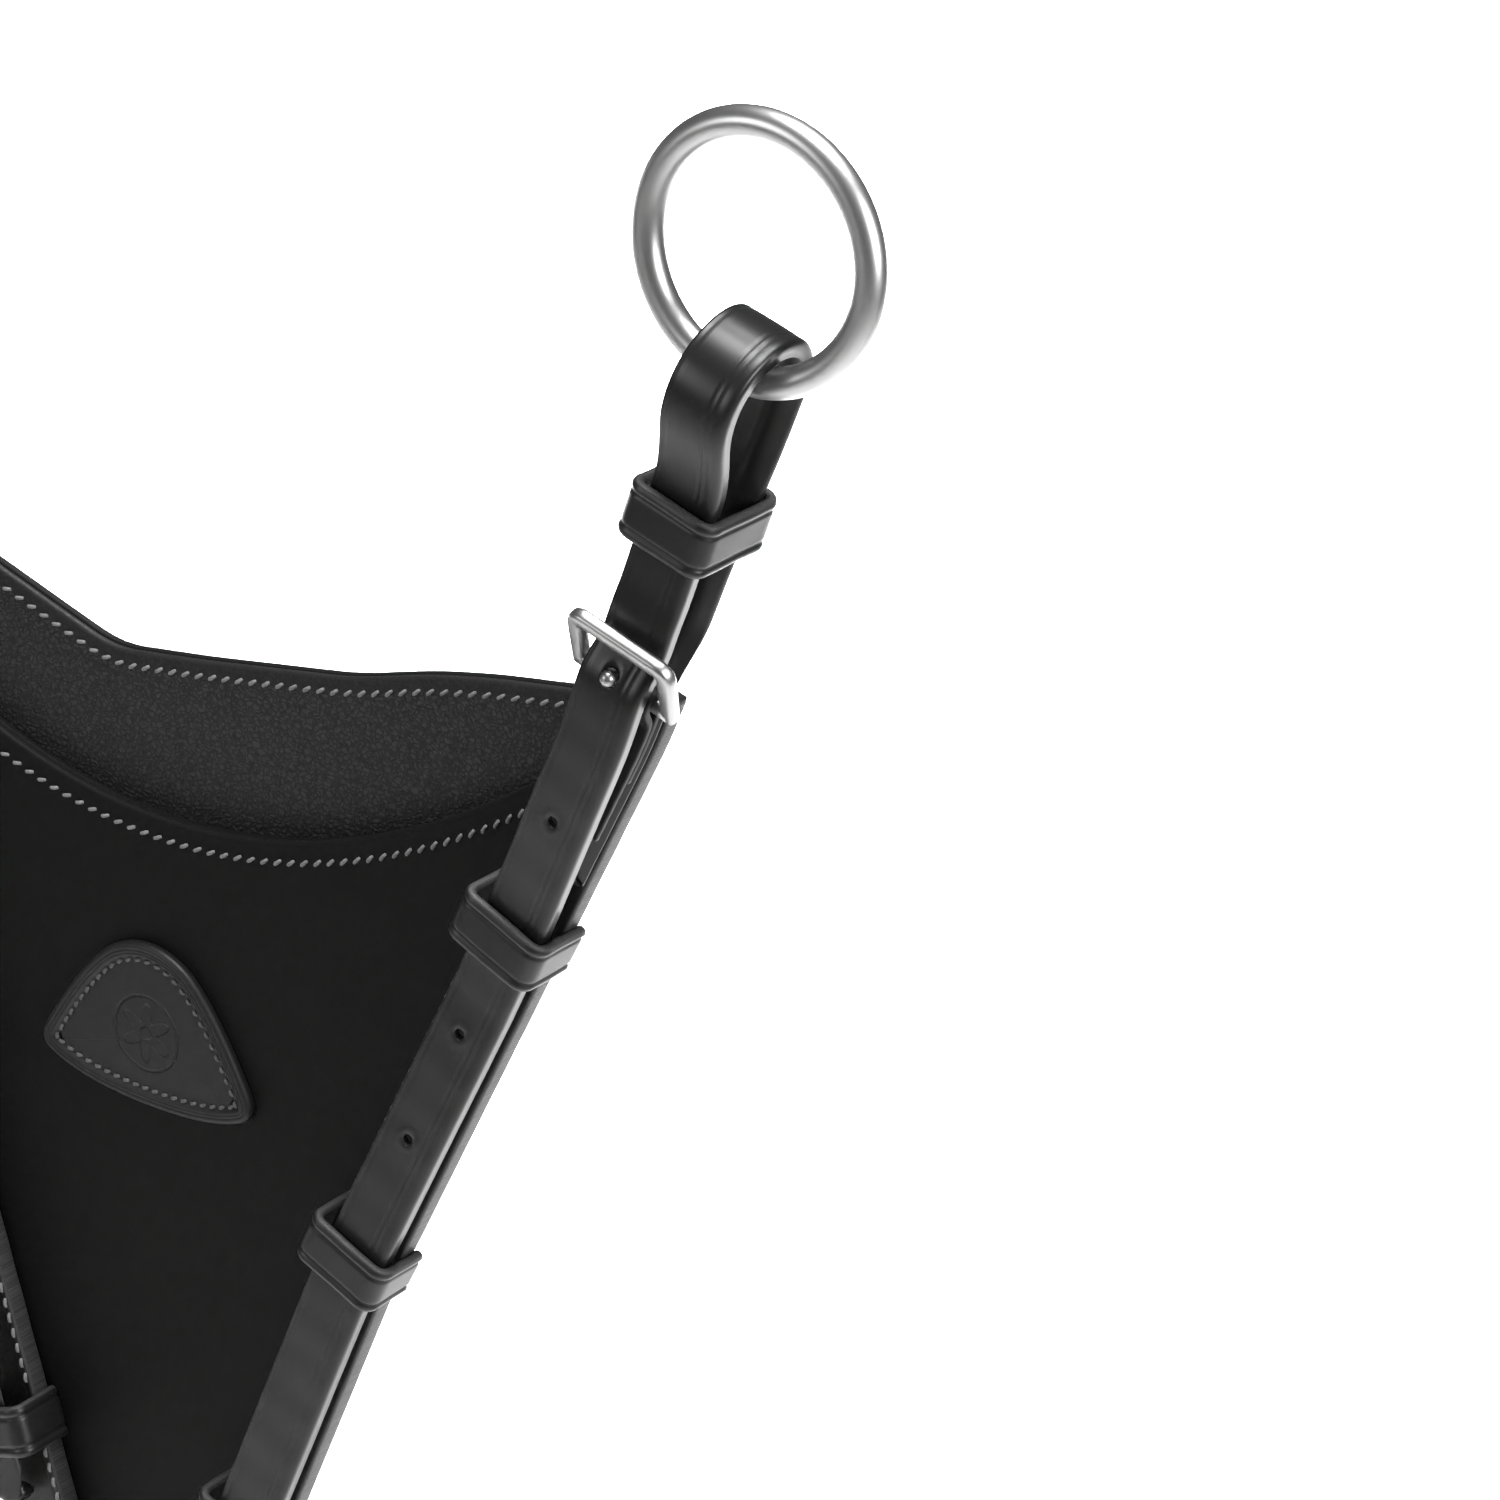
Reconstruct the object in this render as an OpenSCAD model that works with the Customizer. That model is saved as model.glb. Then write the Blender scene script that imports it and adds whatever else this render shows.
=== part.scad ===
// Bib martingale: leather bib between two fork straps, a rein ring on each fork, a bolt snap at the foot.
// Units are millimetres. X is across the horse, -Y is the front of the bib, +Z is up.
// The origin is the middle of the bolt snap's throat, where the martingale clips on.

/* [Fork straps] */
// Width of the ring strap and its billet
strap_w = 12.7; // [10:0.1:19]
// Thickness of the ring strap
strap_t = 3.8; // [3:0.1:4.2]
// Thickness of the ring strap's skived tail
tail_t = 2.2; // [1.6:0.1:2.6]
// Gap between the fork strap and the billet that lies over it
billet_lift = 1.4; // [0.4:0.1:1.8]
// Thickness of the fork strap that is sewn to the bib
base_t = 4.4; // [3.6:0.1:5]
// How far the fork strap shows past the billet on the bib side
base_in = 1.6; // [1.4:0.1:3]
// How far the fork strap shows past the billet on the outer side
base_out = 0.3; // [0:0.1:2]
// Height above the origin where the two fork centre lines meet
foot_z = 111.2; // [100:0.1:140]
// Lean of the lower part of a fork from upright, in degrees
lean_low = 19.55; // [15:0.05:24]
// Lean of the middle part of a fork
lean_mid = 23.0; // [18:0.05:27]
// Lean of the free upper part of a fork
lean_top = 16.7; // [12:0.05:24]
// Length of the lower part
length_low = 149.4; // [130:0.1:180]
// Length of the middle part
length_mid = 133; // [120:0.1:160]
// Length of the free upper part, to the top of the ring loop
length_top = 76.2; // [72:0.1:90]

/* [Billet and holes] */
// Distance between adjusting holes
hole_pitch = 25.4; // [18:0.1:26]
// Diameter of an adjusting hole
hole_d = 3; // [2.6:0.1:3.4]
// Number of adjusting holes below the buckle
hole_count = 4; // [2:1:4]
// From the buckle tongue's hole to the next hole
first_hole_gap = 31; // [28:0.1:36]
// From the fork's foot to the tip of the billet
billet_tip = 72; // [66:0.1:78]

/* [Ring] */
// Outer diameter of a rein ring
ring_od = 46; // [40:0.1:56]
// Diameter of the ring's wire
ring_wire = 5.2; // [4:0.1:6]
// Lean of the line from the loop to the ring's centre
ring_lean = 6; // [0:0.1:16]
// Inner radius of the leather loop that holds the ring
loop_r = 7.8; // [7:0.1:8.6]
// Gap between the wire and the top of its leather loop, at the strap's edge
ring_play = 0.8; // [0.7:0.1:1.4]

/* [Keepers] */
// Width of a keeper along the strap
keeper_w = 10; // [8:0.1:11]
// Thickness of a keeper's leather
keeper_t = 1.8; // [1.5:0.1:2.4]
// Clearance of the running keeper round the strap
keeper_play = 0.35; // [0.2:0.05:0.8]
// Station of the lower keeper along the fork
lower_keeper_at = 86.8; // [84:0.1:100]
// Station of the middle keeper along the fork
middle_keeper_at = 156; // [148:0.1:166]
// Station of the upper keeper along the fork
upper_keeper_at = 235; // [228:0.1:236]
// From the buckle's heel bar to the running keeper
running_keeper_gap = 32; // [31:0.1:33]

/* [Buckle] */
// From the bend of the fork to the heel bar
heel_gap = 8.2; // [6:0.1:12]
// Distance between the heel bar and the outer bar
frame_reach = 12.2; // [11.8:0.1:13]
// Width of the buckle's window
window_w = 15.4; // [14.6:0.1:21]
// Width of the frame's sides and bars
bar_w = 3; // [2.4:0.1:3.4]
// Thickness of the frame
bar_t = 2.6; // [2:0.1:3]
// Diameter of the heel bar
heel_d = 2.8; // [2:0.1:3]
// Slope of the frame away from the strap
frame_tilt = 32; // [30:1:38]
// Thickness of the chape leather
chape_t = 1.2; // [1:0.1:1.4]

/* [Bib] */
// Height above the origin of the lowest point of the front panel's top edge
bib_top = 324; // [316:0.1:332]
// Radius of the top edge's curve at its lowest point
bib_curve = 105; // [90:1:140]
// Thickness of the front leather
front_t = 2; // [1.4:0.1:3]
// Thickness of the stiffening core
core_t = 1.7; // [1:0.1:3]
// Thickness of the grained lining
lining_t = 1.6; // [1:0.1:2.4]
// Thickness of the backing leather
backing_t = 1.8; // [1:0.1:3]
// How far the lining stands above the front panel at the middle
lining_rise = 27.4; // [20:0.1:34]
// How far the bib's sides reach past the forks' centre lines
bib_tuck = 3.2; // [2:0.1:5.6]
// Height of the bib's cut lower tip
bib_tip = 126; // [120:0.1:130]

/* [Badge] */
// Half width of the badge
badge_half = 24.4; // [18:0.1:27]
// Height of the badge's corners above the origin
badge_z = 274; // [264:0.1:284]
// Thickness of the badge
badge_t = 1.8; // [1.2:0.1:2.4]

/* [Stitching] */
// Distance from one stitch to the next
stitch_pitch = 3; // [2.4:0.1:4]
// Length of a stitch
stitch_l = 2.3; // [1.6:0.1:2.3]
// Thickness of the thread
thread_d = 0.7; // [0.5:0.05:0.9]

/* [Chest strap and bolt snap] */
// Width of the chest strap
chest_w = 20; // [18:0.1:25]
// Height of the chest strap's rounded upper end
chest_top = 160; // [154:0.1:166]
// Diameter of the swivel eye's wire
eye_d = 4; // [3.4:0.1:4.6]
// Height of the eye bar inside the chest strap's loop
eye_z = 55; // [52:0.1:60]
// Width of the snap between its arm and its bolt, axis to axis
snap_w = 20; // [18:0.1:26]
// Diameter of the snap's arm and hook
arm_d = 7; // [6:0.1:8]
// Diameter of the sliding bolt
bolt_d = 6; // [5:0.1:6.5]
// Travel of the bolt when the snap is opened
bolt_travel = 13; // [10:0.1:13.5]
// Sliding clearance round the bolt
bolt_play = 0.08; // [0.05:0.01:0.1]

/* [Hidden] */
$fn = 48;

// The front of the bib stands behind the snap's axis, so that the doubled chest strap hangs from its middle
deck_y = base_t + 0.1;

// Fork centre line: three straight runs, given as corner points in X and Z
leans = [lean_low, lean_mid, lean_top];
stations = [0, length_low, length_low + length_mid, length_low + length_mid + length_top];
corner_0 = [0, foot_z];
corner_1 = corner_0 + length_low * [sin(lean_low), cos(lean_low)];
corner_2 = corner_1 + length_mid * [sin(lean_mid), cos(lean_mid)];
corner_3 = corner_2 + length_top * [sin(lean_top), cos(lean_top)];
corners = [corner_0, corner_1, corner_2, corner_3];
far = 90;
function run_at(s) = s < stations[1] ? 0 : s < stations[2] ? 1 : 2;
function mitre(i) = i == 0 ? leans[0] : i == 3 ? leans[2] : (leans[i - 1] + leans[i]) / 2;
function cross_dir(a) = [cos(a), -sin(a)];
function along_dir(a) = [sin(a), cos(a)];
function fork_point(s, side = 0) = let (i = run_at(s))
    corners[i] + (s - stations[i]) * along_dir(leans[i]) + side * cross_dir(leans[i]);

// Depths of the strap faces, measured forward from the front of the bib (Y is minus the depth)
low_face = base_t + billet_lift + strap_t;
tail_face = base_t + 0.2 + tail_t;
wrap_r = heel_d / 2 + 0.15 + chape_t;
heel_depth = tail_face + 0.05 + wrap_r;
heel_face = heel_depth + wrap_r + 0.15 + strap_t;
chape_flat = tail_face + 0.05 + 2 * chape_t + 0.1;
loop_axis = 4 + strap_t;
keeper_mid = loop_axis + 3.5;

// Stations along the fork
heel_at = stations[2] + heel_gap;
tongue_hole_at = heel_at + 3.6;
bar_at = heel_at + frame_reach * cos(frame_tilt);
base_end = heel_at - 1.5;
tail_end = upper_keeper_at + 15;
chape_end = upper_keeper_at + 27;
running_keeper_at = heel_at + running_keeper_gap;
keeper_travel = 1;
keeper_high_end = running_keeper_at + keeper_w / 2 + keeper_travel;
loop_top = stations[3];
loop_mid = loop_top - strap_t - loop_r;
// How much higher the round, leaning ring stands at the strap's edge than at its middle
ring_r = (ring_od - ring_wire) / 2;
edge_room = strap_w / 2 * tan(abs(lean_top - ring_lean)) + ring_r - sqrt(ring_r * ring_r - strap_w * strap_w / 4);
ring_at = loop_top - strap_t - ring_play - edge_room - ring_wire / 2;
ring_depth = loop_axis + 0.6;

function ease(t) = (1 - cos(180 * t)) / 2;
function hole_station(k) = tongue_hole_at - first_hole_gap - k * hole_pitch;

module on_deck() translate([0, deck_y, 0]) children();
module leather(c) color(c) children();
module across(w) rotate([90, 0, 90]) linear_extrude(w, center = true) children();
module upright(front, back) translate([0, -back, 0]) rotate([90, 0, 0]) linear_extrude(front - back) children();
module on_fork(s) {
    i = run_at(s);
    p = fork_point(s);
    translate([p[0], 0, p[1]]) rotate([0, leans[i], 0]) children();
}
module fork_run(i) translate([corners[i][0], 0, corners[i][1]]) rotate([0, leans[i], 0])
    translate([0, 0, -stations[i]]) children();
// A strap's outline on the fork, between two side offsets, mitred at the bends
function mitred(i, side) = corners[i] + side * cross_dir(mitre(i)) /
    cos(mitre(i) - (i == 3 ? leans[2] : leans[i]));
module strap_outline(low_side, high_side) polygon(concat(
    [mitred(0, low_side) - far * along_dir(leans[0])], [for (i = [0:2]) mitred(i, low_side)],
    [mitred(3, low_side) + far * along_dir(leans[2]), mitred(3, high_side) + far * along_dir(leans[2])],
    [for (i = [2:-1:0]) mitred(i, high_side)], [mitred(0, high_side) - far * along_dir(leans[0])]));
// Sweeps a profile, drawn as [Y, station], along the fork. The two lower runs share one sweep and the upper run
// has its own. The profile is level where they meet, and a block a hair thicker than the leather joins them there
bend_room = 2;
bend_swell = 0.02;
module profile_part(low, high) intersection() {
    children();
    translate([-far, low]) square([2 * far, high - low]);
}
module bend_block(front) upright(front[0] + bend_swell, front[0] - front[1] - bend_swell)
    translate(corners[2]) rotate(-mitre(2)) square([8 * strap_w, 2 * bend_room], center = true);
module sweep_fork(blocks) intersection() {
    union() {
        fork_run(1) across(8 * strap_w) profile_part(-far, stations[2] - bend_room / 2) children();
        fork_run(2) across(8 * strap_w) profile_part(stations[2] + bend_room / 2, stations[3] + far) children();
        for (b = blocks) bend_block(b);
    }
    upright(60, -60) strap_outline(-strap_w / 2, strap_w / 2);
}
stitch_gap = 0.02;
module stitch(slant) rotate([0, slant, 0]) cube([thread_d, thread_d, stitch_l], center = true);

bend_level = 3;

// Middle line of the ring strap as [station, depth, thickness]. The front run rises off the fork strap to pass over
// the heel bar, dips under the buckle's bar and through the keeper, and swells into the loop
lift_from = upper_keeper_at - 15;
low_mid = low_face - strap_t / 2;
top_mid = heel_face - strap_t / 2;
function rise(t) = (t + ease(t)) / 2;
function billet_mid(s) = s < lift_from ? low_mid :
    low_mid + (top_mid - low_mid) * rise((s - lift_from) / (heel_at - lift_from));
function billet_face(s) = billet_mid(s) + strap_t / 2;
under_bar = heel_depth + (frame_reach - bar_w / 2) * sin(frame_tilt) - bar_t / 2 * cos(frame_tilt) -
    0.75 - strap_t / 2;
keeper_top_mid = keeper_mid + 0.6;
function between(p, q, n) = [for (k = [1:n]) let (t = k / n) [p[0] + t * (q[0] - p[0]),
    p[1] + (q[1] - p[1]) * ease(t), p[2] + (q[2] - p[2]) * t]];
bend_mid = billet_mid(stations[2]);
lift_end = stations[2] - bend_room / 2 - 0.2;
loop_mid_r = loop_r + strap_t / 2;
strap_line = concat(
    [[billet_tip, low_mid, strap_t]],
    [for (k = [0:10]) let (s = lift_from + (lift_end - 2 - lift_from) * k / 10) [s, billet_mid(s), strap_t]],
    [[lift_end, bend_mid, strap_t], [stations[2] + bend_room / 2 + 0.2, bend_mid, strap_t]],
    [[heel_at, top_mid, strap_t]],
    between([heel_at + 1, top_mid, strap_t], [heel_at + 10.5, under_bar, strap_t], 6),
    [[heel_at + 18, keeper_mid, strap_t], [keeper_high_end - 5, keeper_mid, strap_t]],
    [[keeper_high_end, keeper_top_mid, strap_t]],
    between([keeper_high_end, keeper_top_mid, strap_t], [loop_mid, loop_axis + loop_mid_r, strap_t], 6),
    [for (k = [1:15]) let (a = 180 * k / 16)
        [loop_mid + loop_mid_r * sin(a), loop_axis + loop_mid_r * cos(a), strap_t]],
    [[loop_mid, loop_axis - loop_mid_r, strap_t]],
    between([loop_mid, loop_axis - loop_mid_r, strap_t], [heel_at + 13.4, strap_t / 2, strap_t], 9),
    between([heel_at + 13.4, strap_t / 2, strap_t], [heel_at - 0.6, tail_face - tail_t / 2, tail_t], 7),
    [[tail_end, tail_face - tail_t / 2, tail_t]]);
function line_way(i) = let (p = strap_line[max(i - 1, 0)], q = strap_line[min(i + 1, len(strap_line) - 1)],
    d = [p[1] - q[1], q[0] - p[0]]) d / norm(d);
function line_side(i, m) = let (p = strap_line[i], w = line_way(i))
    [-p[1] + m * w[1] * p[2] / 2, p[0] - m * w[0] * p[2] / 2];
function arc_points(y, s, r, from, to, n) = [for (k = [0:n]) let (a = from + (to - from) * k / n)
    [y + r * sin(a), s + r * cos(a)]];
module ring_strap_profile() polygon(concat([for (i = [0:len(strap_line) - 1]) line_side(i, 1)],
    [for (i = [len(strap_line) - 1:-1:0]) line_side(i, -1)]));

module ring_strap() leather("#2b2b2b") on_deck() difference() {
    sweep_fork([[bend_mid + strap_t / 2, strap_t], [tail_face, tail_t]]) ring_strap_profile();
    on_fork(tongue_hole_at) translate([0, -heel_face + strap_t / 2, 0]) rotate([90, 0, 0])
        cylinder(d = hole_d + 0.6, h = 3 * strap_t, center = true);
    for (k = [0:hole_count - 1]) on_fork(hole_station(k))
        translate([0, -billet_face(hole_station(k)) + strap_t + 0.4, 0])
            rotate([90, 0, 0]) cylinder(d = hole_d, h = 2 * strap_t);
    // The billet's tip is cut to a blunt point
    on_fork(billet_tip) for (m = [0, 1]) mirror([m, 0, 0]) translate([strap_w / 2, -low_face - 1, 0])
        rotate([0, -50, 0]) translate([-strap_w, 0, -strap_w]) cube([2 * strap_w, strap_t + 2, strap_w]);
}

// Sewn fork strap under the billet, cut square at its foot and mitred against its twin
module fork_strap() leather("#1c1c1c") on_deck() upright(base_t, 0) intersection() {
    strap_outline(-strap_w / 2 - base_in, strap_w / 2 + base_out);
    translate([0, chest_join]) square([2 * far, 500]);
    translate(fork_point(base_end)) rotate(-leans[2]) translate([-far, -500]) square([2 * far, 500]);
}
chest_join = foot_z + 6.8;
fork_row = -strap_w / 2 - base_in / 2 - 0.05;
fork_row_start = 62;
fork_row_count = floor((upper_keeper_at + 30 - fork_row_start) / stitch_pitch);
keeper_stations = [lower_keeper_at, middle_keeper_at, upper_keeper_at];
function clear_of_keepers(s) = min([for (k = keeper_stations) abs(s - k)]) > keeper_w / 2 + stitch_l / 2 + 0.2;
module fork_stitching() leather("#8c8c8c") on_deck() for (k = [0:fork_row_count]) let (
    s = fork_row_start + k * stitch_pitch)
    if (clear_of_keepers(s)) on_fork(s) translate([fork_row, -base_t - thread_d / 2 - stitch_gap, 0]) stitch(0);

// Chape: folded leather that holds the buckle's heel bar, slotted for the tongue
tongue_w = 3;
chape_profile_front = concat(
    [[chape_end, chape_flat]],
    [[stations[2] + bend_level, chape_flat]],
    [for (k = [1:6]) let (t = k / 6)
        [stations[2] + bend_level + t * (heel_gap - bend_level),
            chape_flat + (heel_depth + wrap_r - chape_flat) * ease(t)]]);
module chape_profile() polygon(concat(
    [for (p = chape_profile_front) [-p[1], p[0]]],
    arc_points(-heel_depth, heel_at, wrap_r, -80, 90, 12),
    [[-tail_face - 0.05, chape_end + 12], [-tail_face - 0.05 - chape_t, chape_end + 12]],
    arc_points(-heel_depth, heel_at, heel_d / 2 + 0.15, 90, -90, 12),
    [for (k = [len(chape_profile_front) - 2:-1:0])
        [-chape_profile_front[k][1] + chape_t, chape_profile_front[k][0]]]));
module chape() leather("#262626") on_deck() difference() {
    sweep_fork([[chape_flat, chape_t], [tail_face + 0.05 + chape_t, chape_t]]) chape_profile();
    on_fork(heel_at) translate([-tongue_w / 2 - 0.4, -heel_depth - 3.2, -3.2])
        cube([tongue_w + 0.8, 6.2, 8]);
}

// Buckle frame: a square frame bent forward from its heel bar
module buckle_frame() color("#b8b8b8") on_deck() on_fork(heel_at) translate([0, -heel_depth, 0])
    rotate([frame_tilt, 0, 0]) {
        half = window_w / 2 + bar_w;
        top = frame_reach + bar_w / 2;
        corner = 2.6;
        difference() {
            rotate([90, 0, 0]) linear_extrude(bar_t, center = true) union() {
                translate([-half, -bar_w / 2]) square([2 * half, top + bar_w / 2 - corner]);
                translate([-half + corner, 0]) square([2 * (half - corner), top]);
                for (m = [-1, 1]) translate([m * (half - corner), top - corner]) circle(corner);
            }
            translate([-window_w / 2, -bar_t, -bar_w]) cube([window_w, 2 * bar_t, frame_reach + bar_w / 2]);
        }
        rotate([0, 90, 0]) cylinder(d = heel_d, h = window_w + 1, center = true);
    }

// Buckle tongue: an eye round the heel bar and a short ball-ended prong
tongue_rise = heel_face - heel_depth - 0.1;
module buckle_tongue() color("#c4c4c4") on_deck() on_fork(heel_at) translate([0, -heel_depth, 0]) {
    difference() {
        union() {
            rotate([0, 90, 0]) cylinder(d = heel_d + 2.2, h = tongue_w, center = true);
            translate([0, 0, tongue_hole_at - heel_at]) rotate([90, 0, 0]) cylinder(d = 2, h = tongue_rise);
            translate([-1, -2, 0]) cube([2, 1.6, tongue_hole_at - heel_at]);
        }
        rotate([0, 90, 0]) cylinder(d = heel_d + 0.12, h = tongue_w + 1, center = true);
    }
    translate([0, -tongue_rise, tongue_hole_at - heel_at]) sphere(d = 2.8);
}

// A keeper's band: the outer face and the inner face of a soft square loop
module soft_square(w, d, r) union() {
    square([w - 2 * r, d], center = true);
    square([w, d - 2 * r], center = true);
    for (x = [-1, 1], y = [-1, 1]) translate([x * (w / 2 - r), y * (d / 2 - r)]) circle(r);
}
// Fixed keeper: its ends are tucked down beside the fork strap and sewn
module fixed_keeper(s, inside) leather("#202020") on_deck() on_fork(s) {
    w = strap_w + base_in + base_out;
    shift = (base_out - base_in) / 2;
    intersection() {
        translate([shift, 0, 0]) linear_extrude(keeper_w, center = true) difference() {
            soft_square(w + 2 * keeper_t, 2 * (inside + keeper_t), 2.8);
            soft_square(w, 2 * inside, 1);
        }
        translate([-far, -2 * far, -far]) cube([2 * far, 2 * far, 2 * far]);
    }
}
upper_inside = billet_face(upper_keeper_at + keeper_w / 2) + 0.4;
// Running keeper: a closed band, roomy enough for its travel along the swelling strap
travel_t = (keeper_high_end - heel_at - 13.4) / (loop_mid - heel_at - 13.4);
keeper_back = strap_t / 2 + (loop_axis - loop_mid_r - strap_t / 2) * ease(travel_t) - strap_t / 2 - keeper_play;
keeper_front = keeper_top_mid + strap_t / 2 + keeper_play + 0.1;
module running_keeper() leather("#232323") on_deck() on_fork(running_keeper_at)
    translate([0, -(keeper_front + keeper_back) / 2, 0]) linear_extrude(keeper_w, center = true) difference() {
        inner_w = strap_w + 2 * keeper_play;
        inner_d = keeper_front - keeper_back;
        soft_square(inner_w + 2 * keeper_t, inner_d + 2 * keeper_t, 2.8);
        soft_square(inner_w, inner_d, 0.8);
    }

// Rein ring, hanging in its leather loop
ring_hang = fork_point(ring_at);
ring_centre = ring_hang + ring_r * along_dir(ring_lean);
module ring() color("#c8c8c8") on_deck() translate([ring_centre[0], -ring_depth, ring_centre[1]])
    rotate([90, 0, 0]) rotate_extrude($fn = 96) translate([ring_r, 0]) circle(d = ring_wire);

// Bib outlines. The sides run under the fork straps
side_low = fork_point(0, bib_tuck);
side_mid = fork_point(stations[1], bib_tuck);
side_top = fork_point(stations[2] + 8, bib_tuck);
side_line = [side_low, side_mid, side_top];
module bib_side_outline() polygon(concat(side_line, [for (k = [2:-1:0]) [-side_line[k][0], side_line[k][1]]]));
function front_edge(x) = bib_top + x * x / (2 * bib_curve);
reach = 110;
module front_top_outline(drop) polygon(concat([[reach, bib_tip], [-reach, bib_tip]],
    [for (k = [-28:28]) let (x = k * reach / 28) [x, front_edge(x) - drop]]));
// The soft lining is cut by hand: its notch sits a little left of the middle
notch = [-13, bib_top + lining_rise];
lining_edge = [[-reach, notch[1] + 27], [-62, notch[1] + 14.6], [-39, notch[1] + 7.8], [-24, notch[1] + 3.2],
    notch, [6.6, notch[1] + 3.1], [39, notch[1] + 9.2], [56, notch[1] + 14.6], [68, notch[1] + 17.4],
    [86, notch[1] + 20.6], [reach, notch[1] + 24]];
module lining_outline() polygon(concat([[reach, bib_tip], [-reach, bib_tip]], lining_edge));
module bib_layer(front, back) on_deck() intersection() {
    upright(-front, -back) bib_side_outline();
    upright(-front + 1, -back - 1) children();
}
core_back = front_t + core_t;
lining_back = core_back + lining_t;
backing_back = lining_back + backing_t;
module bib_front_panel() leather("#141414") bib_layer(0, front_t) front_top_outline(0);
module bib_core() leather("#101010") bib_layer(front_t, core_back) front_top_outline(0);
module bib_lining() leather("#383838") bib_layer(core_back, lining_back) lining_outline();
module bib_backing() leather("#121212") bib_layer(lining_back, backing_back) lining_outline();

// Stitches along the front panel's top edge, an even distance apart
front_row = 3.8;
function slope(x) = x / bib_curve;
function next_x(x) = x + stitch_pitch / sqrt(1 + slope(x) * slope(x));
front_row_end = side_mid[0] + (bib_top + 32 - side_mid[1]) * tan(lean_mid) - bib_tuck - strap_w;
function row_xs(x) = x > front_row_end ? [] : concat([x], row_xs(next_x(x)));
half_xs = row_xs(stitch_pitch / 2);
module front_stitching() leather("#8c8c8c") on_deck() for (m = [-1, 1], x = half_xs) let (
    a = atan(slope(x)))
    translate([m * x, -thread_d / 2 - stitch_gap, front_edge(x) - front_row / cos(a)])
        rotate([0, 90 - m * a, 0]) stitch(-18);

// Stitches along the lining's top edge, one row for each straight of the outline
lining_row = 3;
module row_of(p, q, depth) {
    run = q - p;
    n = floor(norm(run) / stitch_pitch);
    a = atan2(run[1], run[0]);
    for (k = [0:n - 1]) let (m = p + run * (k + 0.5) / n)
        translate([m[0], -depth - thread_d / 2 - stitch_gap, m[1]]) rotate([0, 90 - a, 0]) stitch(-18);
}
lining_row_points = [for (k = [1:9]) lining_edge[k] - [0, lining_row]];
module lining_stitching() leather("#8c8c8c") on_deck()
    for (k = [0:7]) row_of(lining_row_points[k], lining_row_points[k + 1], -core_back);

// Badge: a blunt shield of leather, outline as [x, height above its corners]
function bezier(a, b, c, n) = [for (k = [0:n]) let (t = k / n) a * (1 - t) * (1 - t) + 2 * b * t * (1 - t) + c * t * t];
function badge_half_outline(e) = let (h = badge_half - e) concat(
    bezier([0, -6.2 + e], [h * 0.62, -6.2 + e], [h - 2, -2.4 + e * 0.7], 6),
    bezier([h - 1.6, -2.2 + e * 0.7], [h + 0.4, -1], [h - 0.6, 1.8], 4),
    bezier([h - 1, 2.8], [h * 0.62, 18 - e * 0.6], [h * 0.34, 23 - e * 0.9], 8),
    bezier([h * 0.3, 23.5 - e], [h * 0.16, 25.4 - e], [0, 25.4 - e], 5));
module badge_outline(e) let (half = badge_half_outline(e)) polygon(concat(half,
    [for (k = [len(half) - 2:-1:1]) [-half[k][0], half[k][1]]]));
badge_groove = 0.5;
module badge() leather("#2e2e2e") on_deck() translate([0, 0, badge_z]) difference() {
    upright(badge_t, 0) badge_outline(0);
    upright(badge_t + 1, badge_t - badge_groove) badge_outline(2.6);
}
module badge_stitching() leather("#707070") on_deck() translate([0, 0, badge_z]) {
    half = badge_half_outline(3.4);
    for (m = [-1, 1], k = [0:2:len(half) - 2]) let (p = half[k], q = half[k + 1], d = q - p)
        if (norm(d) > 1.2) translate([m * (p[0] + q[0]) / 2, -badge_t + badge_groove - thread_d / 2 - stitch_gap,
            (p[1] + q[1]) / 2]) rotate([0, 90 - m * atan2(d[1], d[0]), 0])
            cube([thread_d, thread_d, norm(d) * 0.8], center = true);
}

// Chest strap: doubled round the snap's eye, its front leaf runs up over the fork
leaf_in = eye_d / 2 + 0.25;
leaf_out = leaf_in + strap_t;
chest_axis_y = -deck_y;
chest_front = deck_y + leaf_out;
loop_blend = 14;
front_leaf = base_t + strap_t;
function chest_profile_points() = concat(
    [[-front_leaf, chest_top], [-front_leaf, eye_z + loop_blend]],
    [for (k = [1:6]) let (t = k / 6) [-front_leaf - (chest_front - front_leaf) * ease(t),
        eye_z + loop_blend * (1 - t)]],
    [for (k = [0:14]) let (a = -96 - 168 * k / 14) [chest_axis_y + leaf_out * sin(a), eye_z + leaf_out * cos(a)]],
    [for (k = [6:-1:0]) let (t = k / 6) [-deck_y + leaf_out * ease(t) + (deck_y - 0.1) * (1 - ease(t)),
        eye_z + loop_blend * (1 - t)]],
    [[-0.1, chest_join - 0.1], [-base_t + 0.1, chest_join - 0.1]],
    [for (k = [0:6]) let (t = k / 6) [-deck_y + leaf_in * ease(t) + (deck_y - base_t + 0.1) * (1 - ease(t)),
        eye_z + loop_blend * (1 - t)]],
    [for (k = [0:14]) let (a = 96 + 168 * k / 14) [chest_axis_y + leaf_in * sin(a), eye_z + leaf_in * cos(a)]],
    [for (k = [6:-1:0]) let (t = k / 6) [-front_leaf + strap_t - (chest_front - front_leaf) * ease(t),
        eye_z + loop_blend * (1 - t)]],
    [[-front_leaf + strap_t, chest_top]]);
module chest_outline() union() {
    translate([-chest_w / 2, 0]) square([chest_w, chest_top - 14]);
    intersection() {
        translate([-chest_w / 2, 0]) square([chest_w, chest_top]);
        translate([0, chest_top - 14]) circle(14);
    }
}
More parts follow.
